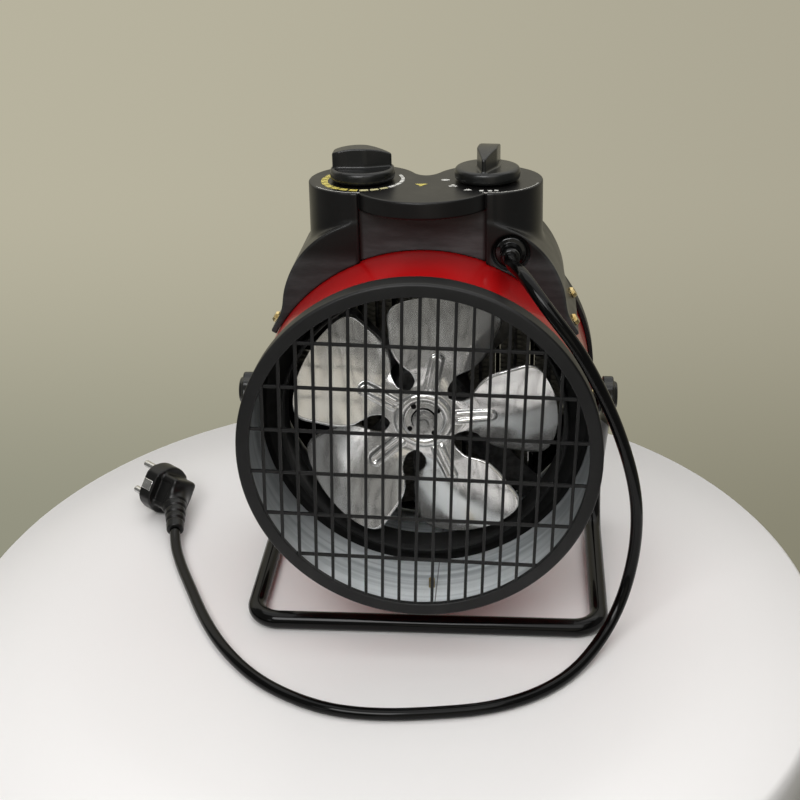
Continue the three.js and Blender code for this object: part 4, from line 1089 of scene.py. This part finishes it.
# Painted shade: a black ring for the groove round the washer and black discs for the holes.
painted_shade_hub_marks = [turned(rounded(band(6.5, 7.4, 50.3, MARK_BACK), 0.1), 64)]
painted_hole_disc = turned(band(0, HOLE_RADIUS, 50.25, MARK_BACK), 24)
for away in np.radians(35 + 90 * np.arange(4)):
    painted_shade_hub_marks.append(moved(painted_hole_disc, HOLE_CIRCLE * np.array([np.cos(away), 0, np.sin(away)])))
make_piece("hub_painted_shade_marks", "fan", together(*painted_shade_hub_marks), heater_black)

# %% [markdown]
# ## Shroud and heater
#
# Behind the fan a dark shroud narrows the air's way. Behind that the heater's
# frame is a hoop with upright strips and four tabs, and thin plates close the
# spaces that the fins leave at the top and bottom. The strips are the grille's
# bars again, only deeper.

# %% Shroud
shroud_profile = rounded(
    [
        (80, 45), (81.4, 42), (82.6, 42.4), (82.6, 58.8), (93.3, 58.8), (95.4, 53.8), (95.4, 61),
        (80, 61),
    ],
    (1.0, 0.8, 0.6, 1.0, 1.0, 0.4, 0.5, 0.8),
)
make_piece("fan_shroud_ring", "drum", turned(shroud_profile, 160), shroud_paint, ["fan_shroud"])

# %% Plates in the heater's frame
HOOP_RADIUS, HOOP_BORE, HOOP_START, HOOP_END = 86, 84, 98, 116
STRIP_PITCH, STRIP_WIDTH, STRIP_DEPTH, STRIP_PLACE = 20.6, 2.4, 14, 107
PLATE_START, PLATE_END, PLATE_INSET = 106.4, 107.6, 1.3
STRIP_REACH, FIN_REACH = HOOP_BORE + 1, 83.4
BAYS = [(number * STRIP_PITCH, (number + 1) * STRIP_PITCH) for number in range(-4, 4)]


def bay_half(left, right):
    """Half the height that fits into the fins' circle between two x values."""
    return np.sqrt(FIN_REACH**2 - max(abs(left), abs(right)) ** 2)


def blanking_plate(left, right, start, side):
    """A thin upright plate from a level edge out to the hoop's circle."""
    x = np.linspace(left, right, 12)
    rim = np.sqrt(STRIP_REACH**2 - x**2)
    corners = band(PLATE_START, PLATE_END, start, rim)
    rows = [np.column_stack([x, y + 0 * x, side * (z + 0 * x)]) for y, z in corners]
    return capped(np.stack(rows, axis=1))


# %% Heater frame
hoop_profile = rounded(band(HOOP_BORE, HOOP_RADIUS, HOOP_START, HOOP_END), 0.4)
annulus_profile = rounded(band(85.5, 95.3, 114.4, 115.6), 0.2)
frame_pieces = [turned(hoop_profile, 160)]
for x in np.arange(-4, 5) * STRIP_PITCH:
    half = np.sqrt(STRIP_REACH**2 - (abs(x) + STRIP_WIDTH / 2) ** 2)
    ends = (x, STRIP_PLACE, -half), (x, STRIP_PLACE, half)
    frame_pieces.append(box_bar(*ends, STRIP_WIDTH, STRIP_DEPTH))
tab = box_bar((85, 115, 0), (94.9, 115, 0), 18, 2)
frame_pieces += [about_axis(tab, 90 * number) for number in range(4)]
frame_pieces.append(turned(annulus_profile, 160))
for left, right in BAYS:
    left, right = left + PLATE_INSET, right - PLATE_INSET
    start = bay_half(left, right) + 0.4
    frame_pieces += [blanking_plate(left, right, start, side) for side in (-1, 1)]
make_piece("heater_hoop", "drum", together(*frame_pieces), heater_black, ["heater_frame"])

# %% [markdown]
# Each space between two strips holds corrugated fins on both sides of a heating
# strip. Hundreds of single fins would cost far more faces, so a stack is one
# zigzag line with the sheet's thickness, carried into the drum.

# %% Corrugated fins
FIN_SPACING, FIN_SHEET, FIN_INSET, FIN_START, FIN_END = 1.5, 0.18, 1.5, 100.3, 113.7
ELEMENT_WIDTH, ELEMENT_DEPTH = 1.8, 13.2


def zigzag_fins(left, right, half):
    """A fin sheet folded to and fro between two x values while it climbs: one
    closed strip of the sheet's thickness, carried into the drum."""
    count = int(2 * half / FIN_SPACING) // 2 * 2
    z = np.linspace(-half, half, count + 1)
    x = np.where(np.arange(count + 1) % 2, right, left)
    upper, lower = (np.column_stack([x, z + lift]) for lift in (FIN_SHEET / 2, -FIN_SHEET / 2))
    outline = np.concatenate([upper, lower[::-1]])
    n = len(outline)
    points, walls = shell(np.stack([
        np.column_stack([outline[:, 0], np.full(n, y), outline[:, 1]])
        for y in (FIN_START, FIN_END)
    ]), wrap_columns=True)
    near = np.arange(count)
    face = np.stack([near, near + 1, n - 2 - near, n - 1 - near], axis=-1)
    return points, np.concatenate([walls, face[:, ::-1], face + n])


for number, (left, right) in enumerate(BAYS, start=1):
    left, right = left + FIN_INSET, right - FIN_INSET
    middle, half = (left + right) / 2, bay_half(left, right)
    ends = (middle, STRIP_PLACE, -half), (middle, STRIP_PLACE, half)
    stack = together(
        zigzag_fins(left, middle - ELEMENT_WIDTH / 2, half),
        box_bar(*ends, ELEMENT_WIDTH, ELEMENT_DEPTH),
        zigzag_fins(middle + ELEMENT_WIDTH / 2, right, half),
    )
    make_piece(f"fin_stack_{number}", "drum", stack, fin_black, [f"heater_fins_{number}"])

# %% [markdown]
# A self-tapping screw holds the casing's seam at the bottom. Its threaded end
# stands inside the drum, where the photograph shows it. It is one turned
# profile whose radius goes to and fro for the thread, laid with its axis down.

# %% Lower screw
SCREW_X, SCREW_DEPTH, THREAD_STEP, THREAD_START = 5, 24, 0.45, 90
thread = [(1.8 - 0.5 * (k % 2), THREAD_START + THREAD_STEP * k) for k in range(15)]
screw_profile = [
    (0, THREAD_START), *thread, (1.8, 97.1), (3.6, 97.1), (3.6, 98.0), (2.6, 99.4), (0, 99.4)
]
points, quads = turned(screw_profile, 48)
laid = np.column_stack([points[:, 0] + SCREW_X, SCREW_DEPTH + points[:, 2], -points[:, 1]])
make_piece("casing_seam_screw", "drum", (laid, quads), yellow_zinc, ["lower_screw"])

# %% [markdown]
# ## The control box
#
# A black moulding sits astride the drum: sloping shoulders, two round towers, a
# plain block with an overhanging visor between them and a hollow behind. The
# forms run into each other with soft fillets, so it is one distance formula.

# %% Form of the control box
PANEL_TOP, TOWER_X, TOWER_Y, TOWER_RADIUS = 130.5, 35, 92, 31
BOX_HALF_WIDTH, BOX_HALF_DEPTH, SHOULDER_TOP = 81, 32, 38
BLOCK_FRONT, BLOCK_BACK = 64, 99.5
FLANGE_RADIUS, FLANGE_EDGE, BOX_UNDERSIDE = 100.8, np.radians(29.63), 97.3
VISOR_Y, VISOR_RADIUS, VISOR_UNDERSIDE = 81.64, 39.64, 120.7
RECESS_RADIUS = 10.3
BOX_STEP = 0.8


def shoulder_distance(side, z):
    """Distance to a curve that leans in as it climbs: side = 81 - 12 t - 31 t^2
    and height = 64 + 80 t - 30 t^2, with a slightly crowned top."""
    t = (np.sqrt(144 + 124 * np.maximum(BOX_HALF_WIDTH - side, -1)) - 12) / 62
    crown = 114 + 0.75 * (1 - (side / SHOULDER_TOP) ** 2)
    height = np.where(side > SHOULDER_TOP, 64 + 80 * t - 30 * t * t, crown)
    slope = np.where(side > SHOULDER_TOP, (80 - 60 * t) / (12 + 62 * t), 0)
    return soft_max((z - height) / np.hypot(1, slope), side - BOX_HALF_WIDTH, 3.0)


def control_box_distance(x, y, z):
    """Shoulders, a thin flange on the casing, towers that widen a little
    downwards, the block between them, its hollow, the visor and the recess."""
    side, radius = np.abs(x), np.hypot(x, z)
    leaning = side * np.sin(FLANGE_EDGE) - z * np.cos(FLANGE_EDGE)
    flange = soft_max(radius - FLANGE_RADIUS, leaning, 1.0)
    body = soft_min(shoulder_distance(side, z), flange, 4.0)
    lean = 0.8 * (PANEL_TOP - z) / 66.5
    tower = np.hypot(side - TOWER_X, y - TOWER_Y) - TOWER_RADIUS - lean
    bridge = soft_max(soft_max(side - TOWER_X, y - BLOCK_BACK, 0.5), BLOCK_FRONT - y, 0.5)
    body = soft_min(body, soft_min(tower, bridge, 7.0), 2.5)
    body = soft_max(body, np.abs(y - TOWER_Y) - BOX_HALF_DEPTH, 1.2)
    notch = np.maximum(side - TOWER_X, y - BLOCK_FRONT)
    body = soft_max(body, -notch, 0.5)
    visor = soft_max(np.hypot(x, y - VISOR_Y) - VISOR_RADIUS, VISOR_UNDERSIDE - z, 0.7)
    visor = soft_max(visor, y - TOWER_Y, 0.5)
    body = soft_max(np.minimum(body, visor), z - PANEL_TOP, 0.9)
    off_gland = np.hypot(x - GLAND[0], z - GLAND[1]) - RECESS_RADIUS
    body = soft_max(body, -soft_max(off_gland, y - BLOCK_FRONT, 0.8), 1.0)
    return soft_max(body, BOX_UNDERSIDE - radius, 0.5)


# %% Control box
box_shape = moulded(control_box_distance, (-90, 40.4, 45.5), (90, 125.8, 132.4), BOX_STEP)
make_piece("control_housing", "drum", box_shape, black_moulding, ["control_box"], NO_CREASE)

# %% [markdown]
# ## Knobs
#
# Both knobs are the same moulding: a disc with a soft edge and a grip that is
# pointed at one end, with its top arched over the length. The grip grows out of
# the disc with a fillet, so this is a distance formula too, worked out once and
# placed twice.

# %% Form of a knob
KNOB_Y, KNOB_STEP = 89, 0.42
DISC_RADIUS, DISC_MIDDLE, DISC_HALF = 18.3, 4.3, 3.7
GRIP_HALF_WIDTH, GRIP_HALF_LENGTH = 5.7, 16.5
ARCH_X, ARCH_Z, ARCH_RADIUS = -1.5, -26.7, 45.6
TIP_LINE, TAIL_LINE = ((2.0, 5.7), (16.9, 0.8)), ((-13.5, 5.7), (-16.5, 4.2))


def knob_distance(x, y, z):
    """Disc below, grip above: the grip is inside every side line of its plan
    and under an arch."""
    disc = soft_max(np.hypot(x, y) - DISC_RADIUS, np.abs(z - DISC_MIDDLE) - DISC_HALF, 3.0)
    side = np.abs(y)
    grip = side - GRIP_HALF_WIDTH
    for corner, far in (TIP_LINE, TAIL_LINE):
        run = np.subtract(far, corner)
        normal = unit((abs(run[1]) * np.sign(run[0]), abs(run[0])))
        grip = soft_max(grip, (x - corner[0]) * normal[0] + (side - corner[1]) * normal[1], 0.5)
    grip = soft_max(grip, np.abs(x) - GRIP_HALF_LENGTH, 0.7)
    grip = soft_max(grip, np.hypot(x - ARCH_X, z - ARCH_Z) - ARCH_RADIUS, 1.0)
    return soft_min(disc, soft_max(grip, 2.0 - z, 0.5), 1.2)


# %% Both knobs
knob_points, knob_quads = moulded(
    knob_distance, (-19.5, -19.5, -0.6), (19.5, 19.5, 21), KNOB_STEP
)
for name, body, x, turn, node in (
    ("thermostat_grip", "thermostat_control", -TOWER_X, 0, "thermostat_knob"),
    ("mode_grip", "mode_control", TOWER_X, -96, "mode_knob"),
):
    a = np.radians(turn)
    spin = np.array([[np.cos(a), np.sin(a), 0], [-np.sin(a), np.cos(a), 0], [0, 0, 1]])
    placed = knob_points @ spin + (x, KNOB_Y, PANEL_TOP)
    make_piece(name, body, (placed, knob_quads), knob_moulding, [node], NO_CREASE)

# %% [markdown]
# ## Marks on the panel
#
# The panel carries a scale round the left knob, small icons round the right one and a triangle
# between them. They are printed on the real panel, so each is a plate a tenth of a millimetre
# thick. The scale's pieces grow thinner and paler towards the cool end. A pale hair line along
# each tower's rim, a plate in the same white, is a painted highlight where the rounded rim
# catches light.

# %% Marks as plates
MARK_LOW, MARK_HIGH = PANEL_TOP - 0.3, PANEL_TOP + 0.12
SCALE_COUNT, SCALE_START, SCALE_RADIUS = 16, 150, 23.6
SCALE_INNER, SCALE_THINNING = 19.5, 2.3
RIM_HIGHLIGHT_SECTION = ((29.95, 130.3), (29.95, 130.6), (29.65, 130.6), (29.65, 130.3))


def flat_mark(outline):
    """A thin plate from an outline that can be seen whole from its middle."""
    outline = np.asarray(outline, float)
    middle = np.broadcast_to(outline.mean(axis=0), outline.shape)
    rows = ((middle, MARK_HIGH), (outline, MARK_HIGH), (outline, MARK_LOW), (middle, MARK_LOW))
    grid = np.stack([np.column_stack([flat, np.full(len(flat), z)]) for flat, z in rows])
    return shell(grid, wrap_columns=True)


def oval(x, y, half_wide, half_deep, steps=24):
    return flat_mark(circle(full_turn(steps)) * (half_wide, half_deep) + (x, y))


def scale_mark(number):
    """A piece of the ring round the thermostat, from the left by the front to
    the right, its inner radius growing towards the cool end."""
    away = circle(np.radians(SCALE_START + 15 * number + np.linspace(1.5, 13.5, 8)))
    inner = SCALE_INNER + SCALE_THINNING * (number / (SCALE_COUNT - 1))
    ring = np.concatenate([away * SCALE_RADIUS, away[::-1] * inner])
    return flat_mark(ring + (-TOWER_X, KNOB_Y))


def painted_rim_highlight(side, start, end):
    """A painted highlight: a pale hair line just inside a tower's rim, between two angles."""
    away = circle(np.radians(np.linspace(start, end, 40)))
    return capped(np.stack([
        np.column_stack([away * radius + (side * TOWER_X, TOWER_Y), np.full(40, height)])
        for radius, height in RIM_HIGHLIGHT_SECTION
    ], axis=1))


# %% Marks on the panel
def print_paint(name, colour):
    paint = Paint(name)
    worn = paint.noise(900.0, 2.0).clamp(0.3, 0.6)
    colour = paint.mix(worn * 0.25, colour, grey(0.2))
    return paint.finish(Base_Color=colour, Roughness=worn * 0.1 + 0.4)


white_print_and_rim_highlight = print_paint("white print and painted rim highlight", (0.80, 0.79, 0.74, 1))
yellow_print = print_paint("yellow print", (0.72, 0.60, 0.10, 1))
pale_print = print_paint("pale yellow print", (0.72, 0.66, 0.34, 1))
scale = [scale_mark(number) for number in range(SCALE_COUNT)]
triangle = flat_mark([(-4.9, 80.3), (2.1, 80.3), (-1.4, 75.6)])
petals = [
    oval(x, y, 1.1, 1.1, 12) for x, y in (16.4, 76.3) + 1.5 * circle(np.radians([90, 210, 330]))
]
icons = [
    oval(11.6, 88.7, 2.4, 1.5), *petals,
    flat_mark([(22.6, 67.2), (27.2, 67.2), (25.2, 70.2)]),
    flat_mark([(31.2, 65.2), (33.4, 65.2), (33.4, 67.4), (31.2, 67.4)]),
    oval(37.0, 66.1, 1.3, 1.2, 16), oval(40.4, 66.6, 1.2, 1.2, 16),
]
# Painted highlight: a pale hair line along the front of each tower's rim, where its rounded edge
# catches light.
painted_rim_highlights = [painted_rim_highlight(-1, 216, 272), painted_rim_highlight(1, 266, 342)]
make_piece("scale_warm_end", "drum", together(*scale[:8], triangle), yellow_print)
make_piece("scale_middle", "drum", together(*scale[8:11]), pale_print)
make_piece("scale_cool_end_and_rim_highlights", "drum", together(*scale[11:], *icons, *painted_rim_highlights), white_print_and_rim_highlight)

# %% [markdown]
# ## Gland, clamps and stand
#
# The gland is a glossy bush that holds the lead where it enters the box. It is
# round all over, so a turned profile says everything about it.

# %% Gland
gland_profile = rounded(
    [
        (0, 51), (4.3, 51), (5.2, 52.0), (5.6, 54.4), (5.9, 60.6), (8.2, 61.0), (9, 61.8),
        (9, 63.7), (0, 63.7),
    ],
    (0.1, 0.9, 0.5, 0.8, 0.4, 0.6, 0.8, 0.5, 0.1),
)
gland = moved(turned(gland_profile, 72), (GLAND[0], 0, GLAND[1]))
make_piece("cord_bush", "drum", gland, gland_gloss, ["cord_gland"])

# %% [markdown]
# The clamp knobs press the stand's eyes against the drum. They are turned about
# the pivot, with eight shallow lobes for the fingers. Lobes by boolean would
# need eight cutters, and here the radius simply shrinks and grows again.

# %% Clamp knobs
LOBES, LOBE_DEPTH = 8, 1.0
wheel_profile = rounded(
    [(0, 102.7), (11.5, 102.7), (11.5, 108.7), (8.4, 108.9), (7.3, 111.1), (0, 111.1)],
    (0.1, 0.9, 1.3, 0.5, 0.9, 0.1), 6,
)


def clamp_wheel(side):
    """Profile of (radius, outward) about the pivot, its radius less a depth
    times (1 - cos 8a) / 2 on the outer part."""
    angle = full_turn(128)
    radius, out = wheel_profile[:, :1], wheel_profile[:, 1:]
    lobes = (1 - np.cos(LOBES * angle)) / 2 * soft_step(radius, 8.6, 11)
    radius = radius - LOBE_DEPTH * lobes
    y, z = PIVOT_DEPTH + radius * np.cos(angle), PIVOT_HEIGHT + radius * np.sin(angle)
    return shell(np.stack([side * (out + 0 * angle), y, z], -1), wrap_columns=True)


for name, side in (("left", -1), ("right", 1)):
    wheel, node = clamp_wheel(side), f"clamp_knob_{name}"
    make_piece(f"clamp_wheel_{name}", f"{name}_clamp", wheel, knob_moulding, [node])

# %% [markdown]
# The stand is one bent steel tube: straight runs joined by arcs, with its ends
# pressed flat into round eyes. A curve with a bevel can't change its section
# from a circle to a flat, so each station of this sweep has a section of its
# own, and the last ones draw the eye's round end.

# %% Path and section of the stand
TUBE_RADIUS, LEG_X, EYE_X = 5.5, 103.8, 100.5
FRONT_Y, BACK_Y, LEG_RUN = 20, 166, 60
EYE_RADIUS, EYE_HALF_THICK, SHANK_HALF, SHANK_WIDENED = 11.0, 1.9, 5.2, 9.4
PIVOT = np.array(joints["drum_tilt"]["pos_m"]) / MM - (0, GRILLE_CENTRE[1] / MM, 0)
leg_way = unit(PIVOT - (0, BACK_Y, TUBE_RADIUS))


def bent_path(corners, bends, steps=14):
    """Straight runs joined by arcs: points on each arc are its centre plus the
    radius swung from the first tangent point to the second."""
    corners = np.asarray(corners, float)
    path = [corners[:1]]
    for before, corner, after, bend in zip(corners, corners[1:], corners[2:], bends):
        come, go = unit(corner - before), unit(after - corner)
        angle = np.arccos(np.clip(come @ go, -1, 1))
        start = corner - come * bend * np.tan(angle / 2)
        inward = unit(go - come * (come @ go))
        swing = np.linspace(0, angle, steps)[:, None]
        path.append(start + bend * (inward * (1 - np.cos(swing)) + come * np.sin(swing)))
    return np.vstack(path + [corners[-1:]])


def leg_place(side, run):
    """Point of a leg a given run short of the pivot. The centre line moves in
    from the tube to the flat eye over the last stretch."""
    shift = soft_step(-run, -36, -18)
    x = side * (LEG_X + (EYE_X - LEG_X) * shift)
    return np.array([x, *(PIVOT - leg_way * run)[1:]])


def stand_section(run):
    """A round section far from the eye, and a flat one with squarer corners
    near it: each side of a circle is raised to a power below 1."""
    flat = soft_step(-run, -38, -16)
    eye = np.sqrt(np.maximum(EYE_RADIUS**2 - run**2, 0.3))
    shank = SHANK_HALF + (SHANK_WIDENED - SHANK_HALF) * soft_step(-run, -30, -8)
    half_wide = TUBE_RADIUS + (np.where(run < 6, eye, shank) - TUBE_RADIUS) * flat
    half_thick = TUBE_RADIUS + (EYE_HALF_THICK - TUBE_RADIUS) * flat
    ring = circle(full_turn(28))
    ring = np.sign(ring) * np.abs(ring) ** (1 / (1 + 0.55 * flat[:, None, None]))
    return ring * np.stack([half_thick, half_wide], axis=-1)[:, None]


# %% Stand
runs = np.concatenate([np.linspace(40, 8, 12), np.linspace(6, -10.9, 16)])
corners = [(-LEG_X, BACK_Y), (-LEG_X, FRONT_Y), (LEG_X, FRONT_Y), (LEG_X, BACK_Y)]
base = bent_path(
    [leg_place(-1, LEG_RUN), *((x, y, TUBE_RADIUS) for x, y in corners), leg_place(1, LEG_RUN)],
    [22, 16, 16, 22],
)
left_leg, right_leg = ([leg_place(side, run) for run in runs] for side in (-1, 1))
stand_path = np.vstack([left_leg[::-1], base, right_leg])
section = stand_section(np.concatenate([runs[::-1], np.full(len(base), LEG_RUN), runs]))
make_piece(
    "bent_stand", "stand", swept(stand_path, section), stand_enamel, ["stand_tube"],
    place=on_table,
)

# %% [markdown]
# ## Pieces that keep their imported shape
#
# Motor, bracket, spindles, switch and small fixings sit inside or are only
# glimpsed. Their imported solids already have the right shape, so they only take
# a finish.

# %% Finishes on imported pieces
fixings = [name for name in nodes if "screw" in name or "bolt" in name]
fixings.remove("lower_screw")
kept = {
    nickel: ["motor_shaft", "fan_nut"],
    turned_steel: ["mode_spindle", "thermostat_spindle", "thermostat_body"],
    dark_steel: ["motor_body", "motor_bracket"],
    switch_plastic: ["mode_switch_body", "terminal_block"],
    yellow_zinc: fixings,
    black_moulding: ["pivot_spacer_left", "pivot_spacer_right"],
}
for finish, names in kept.items():
    for name in names:
        nodes[name].data.materials.clear()
        nodes[name].data.materials.append(finish)
print("kept pieces:", sum(len(names) for names in kept.values()))
